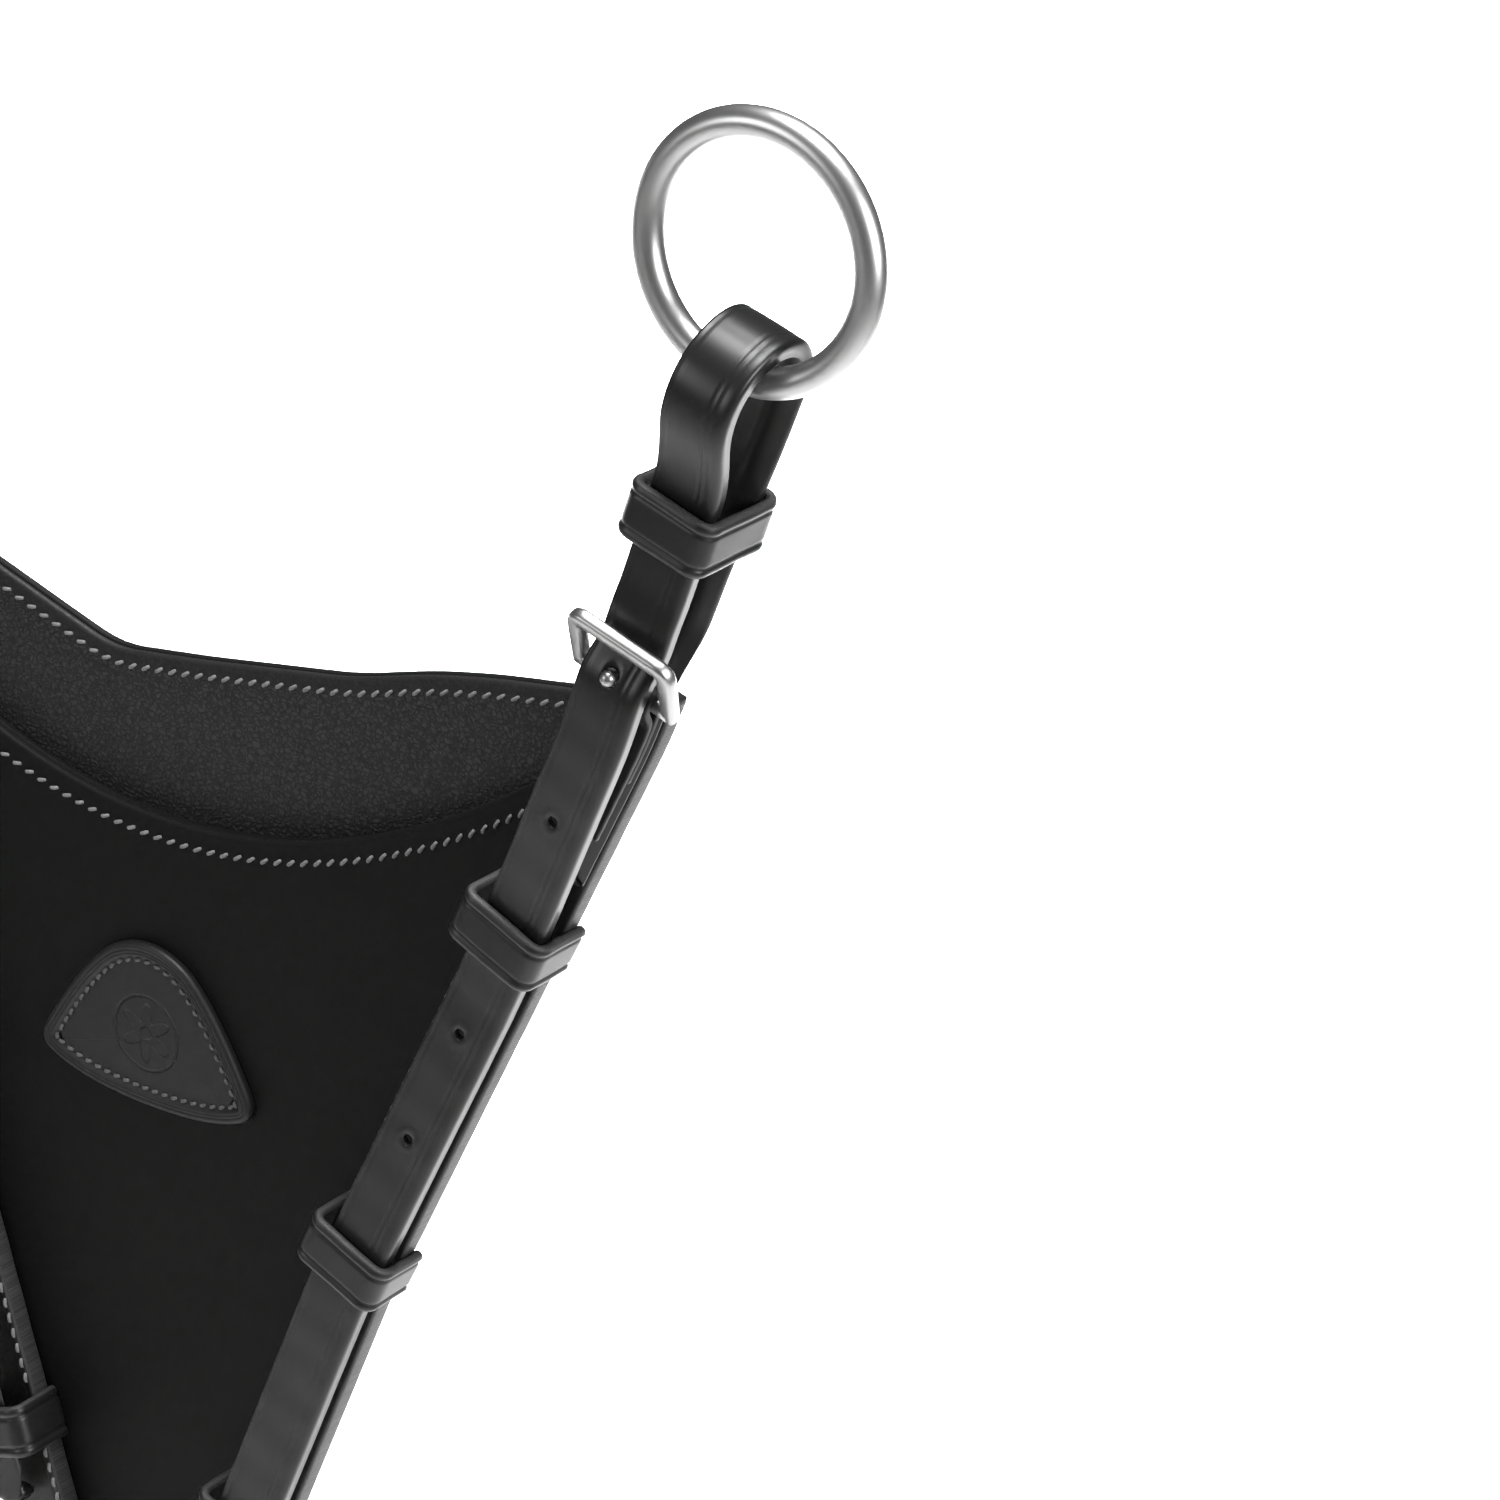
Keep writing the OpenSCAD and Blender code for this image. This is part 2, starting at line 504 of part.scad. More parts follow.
module chest_strap() leather("#222222") on_deck() intersection() {
    across(chest_w) polygon(chest_profile_points());
    upright(40, -40) chest_outline();
}
chest_row = chest_w / 2 - 2.2;
chest_row_low = eye_z + loop_blend + 3;
chest_row_count = floor((chest_top - 14 - chest_row_low) / stitch_pitch);
module chest_stitching() leather("#8c8c8c") on_deck() for (m = [-1, 1], k = [0:chest_row_count])
    translate([m * chest_row, -front_leaf - thread_d / 2 - stitch_gap, chest_row_low + k * stitch_pitch]) stitch(0);

// Swivel eye: a wire frame with a headed stem that turns in the snap's collar
eye_half = chest_w / 2 + 0.9 + eye_d / 2;
eye_drop = 11;
stem_d = 5;
head_d = 8.4;
collar_top = eye_z - eye_drop - eye_d / 2 - 0.4;
collar_h = 4;
head_top = collar_top - collar_h - 0.2;
head_h = 2;
module swivel_eye() color("#bdbdbd") {
    for (z = [eye_z, eye_z - eye_drop]) translate([0, 0, z]) rotate([0, 90, 0])
        cylinder(d = eye_d, h = 2 * eye_half, center = true);
    for (m = [-1, 1]) translate([m * eye_half, 0, eye_z - eye_drop]) {
        cylinder(d = eye_d, h = eye_drop);
        sphere(d = eye_d);
        translate([0, 0, eye_drop]) sphere(d = eye_d);
    }
    translate([0, 0, head_top]) cylinder(d = stem_d, h = eye_z - eye_drop - head_top);
    translate([0, 0, head_top - head_h]) cylinder(d = head_d, h = head_h);
}

// Snap body: collar, bridge, barrel, arm and hook in one casting
stem_play = 0.06;
bridge_top = head_top - head_h - 0.4;
bridge_h = 5;
barrel_d = bolt_d + 4.4;
hook_z = -9;
barrel_low = hook_z + bolt_travel + 0.5;
bolt_low = hook_z + 0.3;
bolt_stub = 8;
bolt_top = barrel_low + bolt_stub;
spring_top = bolt_top + bolt_travel + 5;
barrel_top = spring_top + 2;
knob_d = 4;
knob_z = barrel_low + 4.2;
module snap_body() color("#b0b0b0") difference() {
    union() {
        translate([0, 0, collar_top - collar_h]) cylinder(d = 13, h = collar_h);
        for (m = [-1, 1]) translate([m * 5.6 - 0.9, -3, bridge_top - 1]) cube([1.8, 6, collar_top - bridge_top]);
        translate([-snap_w / 2, -arm_d / 2, bridge_top - bridge_h]) cube([snap_w, arm_d, bridge_h]);
        for (m = [-1, 1]) translate([m * snap_w / 2, 0, bridge_top - bridge_h])
            cylinder(d = m < 0 ? arm_d : barrel_d, h = bridge_h);
        translate([snap_w / 2, 0, barrel_low]) cylinder(d = barrel_d, h = bridge_top - bridge_h - barrel_low + 1);
        translate([-snap_w / 2, 0, hook_z]) cylinder(d = arm_d, h = bridge_top - bridge_h - hook_z + 1);
        translate([0, 0, hook_z]) rotate([90, 0, 0]) rotate_extrude(angle = -180)
            translate([snap_w / 2, 0]) circle(d = arm_d);
    }
    translate([0, 0, collar_top - collar_h - 1]) cylinder(d = stem_d + 2 * stem_play, h = collar_h + 2);
    translate([snap_w / 2, 0, barrel_low - 1]) cylinder(d = bolt_d + 2 * bolt_play, h = spring_top - barrel_low + 1);
    translate([snap_w / 2 - knob_d / 2 - 0.2, -barrel_d, knob_z - knob_d / 2 - 0.2])
        cube([knob_d + 0.4, barrel_d, bolt_travel + knob_d + 0.4]);
}
module snap_bolt() color("#c6c6c6") translate([snap_w / 2, 0, 0]) difference() {
    translate([0, 0, bolt_low]) cylinder(d = bolt_d, h = bolt_top - bolt_low);
    translate([0, -bolt_d, knob_z]) rotate([-90, 0, 0]) cylinder(d = 2, h = bolt_d);
}
module bolt_thumb_knob() color("#d0d0d0") translate([snap_w / 2, 0, knob_z]) rotate([90, 0, 0]) {
    cylinder(d = 2, h = bolt_d / 2);
    translate([0, 0, bolt_d / 2 + 0.1]) cylinder(d = knob_d - 0.4, h = 3.2);
    translate([0, 0, bolt_d / 2 - 0.2]) cylinder(d = 2, h = 0.4);
    translate([0, 0, bolt_d / 2 + 3.3]) scale([1, 1, 1]) sphere(d = knob_d + 1);
}

// Coil spring behind the bolt: a wire swept along a helix
spring_turns = 6;
spring_wire = 0.8;
spring_r = bolt_d / 2 - 0.7;
spring_low = bolt_top + spring_wire / 2 + 0.05;
spring_high = spring_top - spring_wire / 2 - 0.05;
spring_steps = 12 * spring_turns;
function helix(t) = [spring_r * cos(360 * spring_turns * t), spring_r * sin(360 * spring_turns * t),
    spring_low + (spring_high - spring_low) * t];
function ring_at(t) = let (a = 360 * spring_turns * t, out = [cos(a), sin(a), 0]) [for (j = [0:7])
    helix(t) + spring_wire / 2 * (cos(45 * j) * out + sin(45 * j) * [0, 0, 1])];
spring_points = [for (i = [0:spring_steps]) each ring_at(i / spring_steps)];
spring_faces = concat([[for (j = [0:7]) j]],
    [for (i = [0:spring_steps - 1], j = [0:7]) [8 * i + j, 8 * i + 8 + j, 8 * i + 8 + (j + 1) % 8, 8 * i + (j + 1) % 8]],
    [[for (j = [7:-1:0]) 8 * spring_steps + j]]);
module bolt_spring() color("#9a9a9a") translate([snap_w / 2, 0, 0]) polyhedron(spring_points, spring_faces);

module left() mirror([1, 0, 0]) children();

bib_front_panel();
bib_core();
bib_lining();
bib_backing();
front_stitching();
lining_stitching();
badge();
badge_stitching();
fork_strap();  // fork_strap_right
left() fork_strap();  // fork_strap_left
fork_stitching();  // fork_stitching_right
left() fork_stitching();  // fork_stitching_left
ring_strap();  // ring_strap_right
left() ring_strap();  // ring_strap_left
chape();  // chape_right
left() chape();  // chape_left
buckle_frame();  // buckle_frame_right
left() buckle_frame();  // buckle_frame_left
buckle_tongue();  // buckle_tongue_right
left() buckle_tongue();  // buckle_tongue_left
running_keeper();  // running_keeper_right
left() running_keeper();  // running_keeper_left
fixed_keeper(upper_keeper_at, upper_inside);  // upper_keeper_right
left() fixed_keeper(upper_keeper_at, upper_inside);  // upper_keeper_left
fixed_keeper(middle_keeper_at, low_face + 0.3);  // middle_keeper_right
left() fixed_keeper(middle_keeper_at, low_face + 0.3);  // middle_keeper_left
fixed_keeper(lower_keeper_at, low_face + 0.3);  // lower_keeper_right
left() fixed_keeper(lower_keeper_at, low_face + 0.3);  // lower_keeper_left
ring();  // ring_right
left() ring();  // ring_left
chest_strap();
chest_stitching();
swivel_eye();
snap_body();
snap_bolt();
bolt_thumb_knob();
bolt_spring();
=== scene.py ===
from math import asin, atan2, ceil, cos, degrees, hypot, pi, radians, sin, sqrt

import bmesh
import bpy
import numpy as np
from mathutils import Matrix, Vector
from mathutils.bvhtree import BVHTree


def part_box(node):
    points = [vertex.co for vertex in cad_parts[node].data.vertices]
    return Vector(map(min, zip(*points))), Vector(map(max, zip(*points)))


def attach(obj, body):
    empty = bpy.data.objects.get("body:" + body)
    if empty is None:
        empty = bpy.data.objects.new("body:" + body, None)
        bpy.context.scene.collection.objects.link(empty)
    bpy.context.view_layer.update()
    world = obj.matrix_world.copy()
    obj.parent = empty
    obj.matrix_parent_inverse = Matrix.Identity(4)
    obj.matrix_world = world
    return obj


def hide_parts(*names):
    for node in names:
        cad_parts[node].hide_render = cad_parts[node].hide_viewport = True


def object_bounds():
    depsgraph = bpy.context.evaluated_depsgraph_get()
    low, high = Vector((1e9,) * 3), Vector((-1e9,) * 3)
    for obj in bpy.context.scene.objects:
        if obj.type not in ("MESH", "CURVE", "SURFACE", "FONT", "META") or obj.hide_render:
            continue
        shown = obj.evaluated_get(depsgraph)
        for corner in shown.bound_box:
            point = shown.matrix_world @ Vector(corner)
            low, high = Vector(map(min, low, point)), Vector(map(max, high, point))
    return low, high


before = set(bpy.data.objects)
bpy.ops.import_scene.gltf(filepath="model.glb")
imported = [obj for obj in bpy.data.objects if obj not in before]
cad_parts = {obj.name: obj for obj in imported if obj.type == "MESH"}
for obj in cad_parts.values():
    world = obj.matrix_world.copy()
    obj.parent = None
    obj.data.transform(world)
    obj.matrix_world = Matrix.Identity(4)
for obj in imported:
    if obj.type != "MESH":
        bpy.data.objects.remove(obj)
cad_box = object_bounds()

MM = 0.001

# ---------------------------------------------------------------------------------------------------------------------
# The view. A long lens stands to the martingale's left as it hangs, looking a little down on the upper right fork.
# Nothing is in front of the lens but the leather, the steel and the pale studio.
view_heading, view_tilt, view_roll = radians(32.626), radians(23.693), radians(3.773)
lens_place = Vector((0.53809, -0.64487, 0.71144))
look_back = Vector((sin(view_heading) * cos(view_tilt), -cos(view_heading) * cos(view_tilt), sin(view_tilt)))
look_side = Vector((cos(view_heading), sin(view_heading), 0))
look_up = look_back.cross(look_side)
camera = bpy.data.objects.new("camera", bpy.data.cameras.new("camera"))
camera.matrix_world = Matrix((
    (*[look_side[i] * cos(view_roll) + look_up[i] * sin(view_roll) for i in range(3)], 0),
    (*[-look_side[i] * sin(view_roll) + look_up[i] * cos(view_roll) for i in range(3)], 0),
    (*look_back, 0), (0, 0, 0, 1))).transposed()
camera.matrix_world.translation = lens_place
camera.data.lens, camera.data.sensor_width = 126.63, 36
camera.data.clip_start, camera.data.clip_end = 0.05, 50
bpy.context.scene.collection.objects.link(camera)
bpy.context.scene.camera = camera
bpy.context.scene.view_settings.view_transform = "Standard"


# ---------------------------------------------------------------------------------------------------------------------
# The studio. A pale matt floor lies below the hanging martingale, under soft overhead panels. A low panel in front
# throws light up into the loops and bends of the straps.
class Sock:
    """A node's output that can be added, multiplied and so on, each time through a Math node."""

    def __init__(self, nodes, link):
        self.nodes, self.link = nodes, link

    def math(self, operation, *others, clamp=False):
        return self.nodes.add("ShaderNodeMath", {"operation": operation, "use_clamp": clamp},
                              {i: v for i, v in enumerate((self, *others))})

    def __add__(self, o): return self.math("ADD", o)
    def __radd__(self, o): return self.math("ADD", o)
    def __sub__(self, o): return self.math("SUBTRACT", o)
    def __rsub__(self, o): return (self * -1) + o
    def __mul__(self, o): return self.math("MULTIPLY", o)
    def __rmul__(self, o): return self.math("MULTIPLY", o)
    def __truediv__(self, o): return self.math("DIVIDE", o)
    def __pow__(self, o): return self.math("POWER", o)
    def __lt__(self, o): return self.math("LESS_THAN", o)
    def __gt__(self, o): return self.math("GREATER_THAN", o)
    def __abs__(self): return self.math("ABSOLUTE")
    def least(self, o): return self.math("MINIMUM", o)
    def most(self, o): return self.math("MAXIMUM", o)

    def rise(self, low, high):
        """0 below low, 1 above high, smooth between."""
        return self.nodes.add("ShaderNodeMapRange", {"interpolation_type": "SMOOTHSTEP"},
                              {"Value": self, "From Min": low, "From Max": high})


class Finish:
    """A material under construction: its nodes are added in the order of the finish's layers."""

    def __init__(self, name, **constants):
        self.material = bpy.data.materials.new(name)
        self.material.use_nodes = True
        self.tree = self.material.node_tree
        self.shader = self.tree.nodes["Principled BSDF"]
        for socket, value in constants.items():
            self.shader.inputs[socket.replace("_", " ")].default_value = value

    def add(self, kind, settings=None, inputs=None, output=0):
        node = self.tree.nodes.new(kind)
        for key, value in (settings or {}).items():
            if key == "stops":
                while len(node.color_ramp.elements) < len(value):
                    node.color_ramp.elements.new(0.5)
                for element, (place, shade) in zip(node.color_ramp.elements, value):
                    element.position, element.color = place, (*grey(shade), 1)
            else:
                setattr(node, key, value)
        for key, value in (inputs or {}).items():
            if isinstance(value, Sock):
                self.tree.links.new(value.link, node.inputs[key])
            else:
                node.inputs[key].default_value = value
        return Sock(self, node.outputs[output])

    def feed(self, socket, value):
        self.tree.links.new(value.link, self.shader.inputs[socket])

    def blend(self, share, low, high):
        """A colour between two greys, or colour sockets."""
        ends = [v if isinstance(v, Sock) else (*grey(v), 1) for v in (low, high)]
        return self.add("ShaderNodeMix", {"data_type": "RGBA"}, {0: share, 6: ends[0], 7: ends[1]}, output=2)

    def place(self, scale=(1, 1, 1), turn=0, name=None):
        """Object coordinates in millimetres, or a mesh's own stored ones, scaled and turned about Z."""
        if name:
            where = self.add("ShaderNodeAttribute", {"attribute_name": name}, output=1)
            unit = 1
        else:
            where = self.add("ShaderNodeTexCoord", output=3)
            unit = 1000
        turned = self.add("ShaderNodeMapping", {}, {"Vector": where, "Rotation": (0, 0, radians(turn))})
        return self.add("ShaderNodeVectorMath", {"operation": "MULTIPLY"},
                        {0: turned, 1: tuple(unit * s for s in scale)})

    def parts(self, vector):
        return [self.add("ShaderNodeSeparateXYZ", {}, {0: vector}, output=i) for i in range(3)]

    def noise(self, place, scale=1.0, detail=3.0, rough=0.5, warp=0.0):
        return self.add("ShaderNodeTexNoise", {},
                        {"Vector": place, "Scale": scale, "Detail": detail, "Roughness": rough, "Distortion": warp})

    def bump(self, height, strength, depth_mm):
        """Adds relief: height from 0 to 1 stands depth_mm tall."""
        inputs = {"Height": height, "Strength": strength, "Distance": depth_mm * MM}
        before = self.shader.inputs["Normal"].links
        if before:
            inputs["Normal"] = Sock(self, before[0].from_socket)
        self.feed("Normal", self.add("ShaderNodeBump", {}, inputs))


def grey(value):
    return value if isinstance(value, tuple) else (value, value, value)


floor_drop = 0.12
floor_finish = Finish("pale_floor", Roughness=0.9)
floor_finish.shader.inputs["Specular IOR Level"].default_value = 0.1
floor_cloud = floor_finish.noise(floor_finish.place(), scale=0.004, detail=2.0)
floor_finish.feed("Base Color", floor_finish.blend(floor_cloud, 0.86, 0.89))
bpy.ops.mesh.primitive_plane_add(size=12, location=(0, 0, cad_box[0][2] - floor_drop))
floor = bpy.context.object
floor.name = "floor"
floor.data.materials.append(floor_finish.material)

world = bpy.data.worlds.new("studio")
bpy.context.scene.world = world
world.use_nodes = True
world.node_tree.nodes["Background"].inputs[0].default_value = (0.9, 0.9, 0.9, 1)
world.node_tree.nodes["Background"].inputs[1].default_value = 0.11


def panel(name, place, aim, size, power, spread=180):
    """A square soft light that faces a point."""
    lamp = bpy.data.objects.new(name, bpy.data.lights.new(name, "AREA"))
    lamp.data.shape, lamp.data.size, lamp.data.energy, lamp.data.spread = "SQUARE", size, power, radians(spread)
    lamp.location = place
    lamp.rotation_euler = (Vector(aim) - Vector(place)).to_track_quat("-Z", "Y").to_euler()
    lamp.visible_camera = False
    bpy.context.scene.collection.objects.link(lamp)


panel("floor_panel", (-1.2, 1.8, 2.0), (-1.2, 1.8, 0), 2.4, 230, spread=50)
panel("overhead_panel", (0.25, 0.1, 1.8), (0.1, 0.05, 0.3), 0.9, 9, spread=70)
panel("front_panel", (-0.50, -1.02, 0.70), (0.08, 0, 0.38), 0.5, 2.8)
panel("right_panel", (1.3, -0.1, 0.75), (0.1, 0, 0.35), 0.7, 3.5, spread=80)


# ---------------------------------------------------------------------------------------------------------------------
# Fork centre lines. Each fork strap leans outwards in three nearly straight runs, eased into each other as leather
# bends. Stations are measured up the fork from its foot, depths forward from the front of the bib, all in mm.
strap_w, strap_t, base_t = 12.7, 3.8, 4.4
fork_leans, fork_runs, fork_foot = (19.55, 23.0, 16.7), (149.4, 133.0, 76.2), 111.2
bend_reach = 9.0
deck = base_t + 0.1


def smooth(t):
    t = min(max(t, 0.0), 1.0)
    return t * t * (3 - 2 * t)


def ease(t):
    return (1 - cos(pi * min(max(t, 0.0), 1.0))) / 2


def lean_at(s):
    first, second = fork_runs[0], fork_runs[0] + fork_runs[1]
    lean = fork_leans[0] + (fork_leans[1] - fork_leans[0]) * smooth((s - first + bend_reach) / (2 * bend_reach))
    return radians(lean + (fork_leans[2] - fork_leans[1]) * smooth((s - second + bend_reach) / (2 * bend_reach)))


line_step, line_low, line_high = 0.25, -60.0, 420.0
line_s = np.arange(line_low, line_high, line_step)
line_lean = np.array([lean_at(s + line_step / 2) for s in line_s])
line_x = np.concatenate([[0], np.cumsum(np.sin(line_lean) * line_step)])[:-1]
line_z = np.concatenate([[0], np.cumsum(np.cos(line_lean) * line_step)])[:-1]
line_x -= np.interp(0, line_s, line_x)
line_z += fork_foot - np.interp(0, line_s, line_z)


def on_fork(s, side=0.0, depth=0.0):
    """A place on the right fork, in mm."""
    a = lean_at(s)
    return np.array([np.interp(s, line_s, line_x) + side * cos(a), deck - depth,
                     np.interp(s, line_s, line_z) - side * sin(a)])


def across_fork(s):
    a = lean_at(s)
    return np.array([cos(a), 0, -sin(a)])


def make_mesh(name, points_mm, faces, finish, marks=None):
    """A mesh object from points in mm. marks are three numbers kept for each point, for the finish to read."""
    mesh = bpy.data.meshes.new(name)
    mesh.from_pydata((np.asarray(points_mm) * MM).tolist(), [], faces)
    if marks is not None:
        kept = mesh.attributes.new("lay", "FLOAT_VECTOR", "POINT")
        kept.data.foreach_set("vector", np.asarray(marks, dtype=np.float32).ravel())
    mesh.polygons.foreach_set("use_smooth", [True] * len(mesh.polygons))
    mesh.update()
    piece = bpy.data.objects.new(name, mesh)
    piece.data.materials.append(finish.material)
    bpy.context.scene.collection.objects.link(piece)
    return piece


def fit(piece, node, body, slot):
    """Hands a piece over: it stands for its CAD node, which is hidden, and rides on a body. slot is not used."""
    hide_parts(node)
    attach(piece, body)
    return piece


def both_hands(make, *names):
    """Makes a piece for the right fork and its mirror image for the left one."""
    for hand in ("right", "left"):
        make(hand, 1 if hand == "right" else -1)


def strap_section(width, thick, creases=(), crown=0.0, edge=0.8, fine=0.35):
    """A strap's cut end as (across, out, skin) points. skin is 0 on the grain face, 1 on the cut edge, 2 behind."""
    half, h = width / 2, thick / 2
    edge = min(edge, 0.98 * h)
    flat = half - edge
    count = max(4, int(2 * flat / fine))
    points = []
    for k in range(count + 1):
        u = -flat + 2 * flat * k / count
        dip = sum(depth * np.exp(-((u - place) / wide) ** 2) for place, depth, wide in creases)
        points.append((u, h + crown * (1 - (u / half) ** 2) - dip, 0.0))
    for k in range(1, 7):
        a = pi / 2 * k / 6
        points.append((flat + edge * sin(a), h - edge * (1 - cos(a)), k / 6))
    points.append((half, -h + edge, 1.0))
    for k in range(1, 5):
        a = pi / 2 * k / 4
        points.append((flat + edge * cos(a), -h + edge * (1 - sin(a)), 1 + k / 4))
    for k in range(1, 8):
        points.append((flat - 2 * flat * k / 8, -h, 2.0))
    for k in range(0, 5):
        a = pi / 2 * k / 4
        points.append((-flat - edge * sin(a), -h + edge * (1 - cos(a)), 2 - k / 4))
    points.append((-half, h - edge, 1.0))
    for k in range(1, 6):
        a = pi / 2 * k / 6
        points.append((-flat - edge * cos(a), h - edge * (1 - sin(a)), 1 - k / 6))
    return points


def sweep(name, path, section_at, finish, closed=False, relief=None):
    """Draws a strap's section along a path of (place, across, out, station) frames."""
    points, marks, rows = [], [], []
    for i, (place, across, out, station) in enumerate(path):
        section = section_at(i, station)
        row = []
        for u, v, skin in section:
            if relief:
                v += relief(u, v, skin, station)
            row.append(len(points))
            points.append(place + u * across + v * out)
            marks.append((u, station, skin))
        rows.append(row)
    faces = []
    n = len(rows[0])
    for a, b in zip(rows, rows[1:] + ([rows[0]] if closed else [])):
        faces += [(a[k], a[(k + 1) % n], b[(k + 1) % n], b[k]) for k in range(n)]
    if not closed:
        faces += [tuple(reversed(rows[0])), tuple(rows[-1])]
    return points, faces, marks


def path_frames(line, step):
    """Frames along a line of (station, depth) points, evenly spaced. Out is to the left of the way it goes."""
    dense = np.array([on_fork(s, 0, d) for s, d in line])
    run = np.concatenate([[0], np.cumsum(np.linalg.norm(np.diff(dense, axis=0), axis=1))])
    places = np.linspace(0, run[-1], max(3, int(ceil(run[-1] / step)) + 1))
    even = np.stack([np.interp(places, run, dense[:, i]) for i in range(3)], 1)
    stations = np.interp(places, run, [s for s, d in line])
    frames = []
    for i, (p, s) in enumerate(zip(even, stations)):
        way = even[min(i + 1, len(even) - 1)] - even[max(i - 1, 0)]
        way /= np.linalg.norm(way)
        side = across_fork(s)
        side = side - way * np.dot(side, way)
        side /= np.linalg.norm(side)
        frames.append((p, side, np.cross(side, way), places[i]))
    return frames


def mirrored(points, faces, hand):
    """The same mesh for the other hand."""
    if hand > 0:
        return points, faces
    return [(-p[0], p[1], p[2]) for p in points], [tuple(reversed(f)) for f in faces]


def bore(piece, drills):
    """Punches round holes. Each drill is (place, direction, radius, length) in mm."""
    cutter_mesh = bpy.data.meshes.new("punch")
    made = bmesh.new()
    for place, direction, radius, length in drills:
        turn = Vector((0, 0, 1)).rotation_difference(Vector(direction)).to_matrix().to_4x4()
        bmesh.ops.create_cone(made, cap_ends=True, segments=28, radius1=radius * MM, radius2=radius * MM,
                              depth=length * MM, matrix=Matrix.Translation(Vector(place) * MM) @ turn)
    made.to_mesh(cutter_mesh)
    made.free()
    cutter = bpy.data.objects.new("punch", cutter_mesh)
    bpy.context.scene.collection.objects.link(cutter)
    cut = piece.modifiers.new("holes", "BOOLEAN")
    cut.operation, cut.object, cut.solver = "DIFFERENCE", cutter, "EXACT"
    graph = bpy.context.evaluated_depsgraph_get()
    done = bpy.data.meshes.new_from_object(piece.evaluated_get(graph))
    piece.modifiers.clear()
    piece.data = done
    bpy.data.objects.remove(cutter)


# ---------------------------------------------------------------------------------------------------------------------
# Strap leather. Black waxed bridle leather: a satin grain face with short scuffs across it where it has been bent,
# a paler burnished cut edge, and a rough flesh side behind.
def strap_leather(name, scuffs, face=0.011, roughness=0.34):
    """Strap leather, with more or fewer scuffs."""
    f = Finish(name)
    f.shader.inputs["Specular IOR Level"].default_value = 0.5
    lay = f.place(name="lay")
    across, along, skin = f.parts(lay)
    grain = f.noise(lay, scale=5.5, detail=4.0, rough=0.65)
    mottle = f.noise(lay, scale=0.22, detail=3.0)
    slanted = f.place(name="lay", turn=33, scale=(0.42, 5.2, 1))
    creased = f.noise(slanted, scale=1.0, detail=3.0, rough=0.6, warp=0.25)
    lines = creased.rise(0.54, 0.64)
    patches = f.noise(lay, scale=0.10, detail=2.0, warp=0.5).rise(0.36, 0.52)
    middle = 1 - abs(across).rise(3.4, 4.8)
    scuff = lines * patches * middle * scuffs * (1 - skin.rise(0.05, 0.3))
    worn_edge = skin.rise(0.1, 0.6) * (1 - skin.rise(1.1, 1.5))
    fibre = f.noise(f.place(name="lay", scale=(1, 0.6, 2)), scale=6.0, detail=5.0, rough=0.75)
    flesh = skin.rise(1.2, 1.7)
    colour = f.blend(mottle, face * 0.75, face * 1.3)
    colour = f.blend(scuff, colour, face * 6.5)
    colour = f.blend(worn_edge * fibre.rise(0.3, 0.7), colour, face * 7)
    colour = f.blend(flesh * fibre.rise(0.3, 0.8), colour, face * 5.0)
    f.feed("Base Color", colour)
    f.feed("Roughness", (grain * 0.10 + roughness - 0.05 + worn_edge * 0.06 + flesh * 0.25).least(0.9))
    f.bump(grain, 0.35, 0.05)
    f.bump(lines * patches * middle * (1 - skin.rise(0.05, 0.3)), 0.35 * scuffs + 0.1, 0.07)
    f.bump(fibre * (worn_edge + flesh), 0.6, 0.16)
    return f


billet_leather = strap_leather("billet_leather", scuffs=1.0)
base_leather = strap_leather("fork_leather", scuffs=0.2, face=0.010, roughness=0.45)


# ---------------------------------------------------------------------------------------------------------------------
# Ring straps. One strap of leather per fork: the punched billet comes up over the fork, passes through the buckle,
# loops forward round the rein ring and runs back down behind, where its tail is sewn to the fork strap.
hole_pitch, hole_count, first_hole_gap, hole_r = 25.4, 4, 31.0, 0.95
billet_tip = 72.0
ring_od, ring_wire = 46.0, 5.2
bend_at = fork_runs[0] + fork_runs[1]
heel_at = bend_at + 8.2
heel_d, chape_t, keeper_w, keeper_t, keeper_play = 2.8, 1.2, 10.0, 1.8, 0.35
tail_t, billet_lift, loop_r = 2.2, 1.4, 7.8
upper_keeper_at, middle_keeper_at, lower_keeper_at = 235.0, 156.0, 86.8
running_keeper_at, keeper_travel = heel_at + 32, 1.0
low_face = base_t + billet_lift + strap_t
tail_face = base_t + 0.2 + tail_t
wrap_r = heel_d / 2 + 0.15 + chape_t
heel_depth = tail_face + 0.05 + wrap_r
heel_face = heel_depth + wrap_r + 0.15 + strap_t
chape_flat = tail_face + 0.15 + 2 * chape_t
loop_axis = 4 + strap_t
keeper_mid = loop_axis + 3.5
keeper_high_end = running_keeper_at + keeper_w / 2 + keeper_travel
loop_mid = sum(fork_runs) - strap_t - loop_r
loop_mid_r = loop_r + strap_t / 2
tail_end, base_end = upper_keeper_at + 15, heel_at - 1.5
tongue_hole_at = heel_at + 3.6
lift_from = upper_keeper_at - 15
low_mid, top_mid = low_face - strap_t / 2, heel_face - strap_t / 2
frame_reach, window_w, bar_w, bar_t, frame_tilt = 12.2, 15.4, 3.0, 2.6, radians(32)
under_bar = heel_depth + (frame_reach - bar_w / 2) * sin(frame_tilt) - bar_t / 2 * cos(frame_tilt) - 0.75 - strap_t / 2
gap_low = heel_at + 13.4


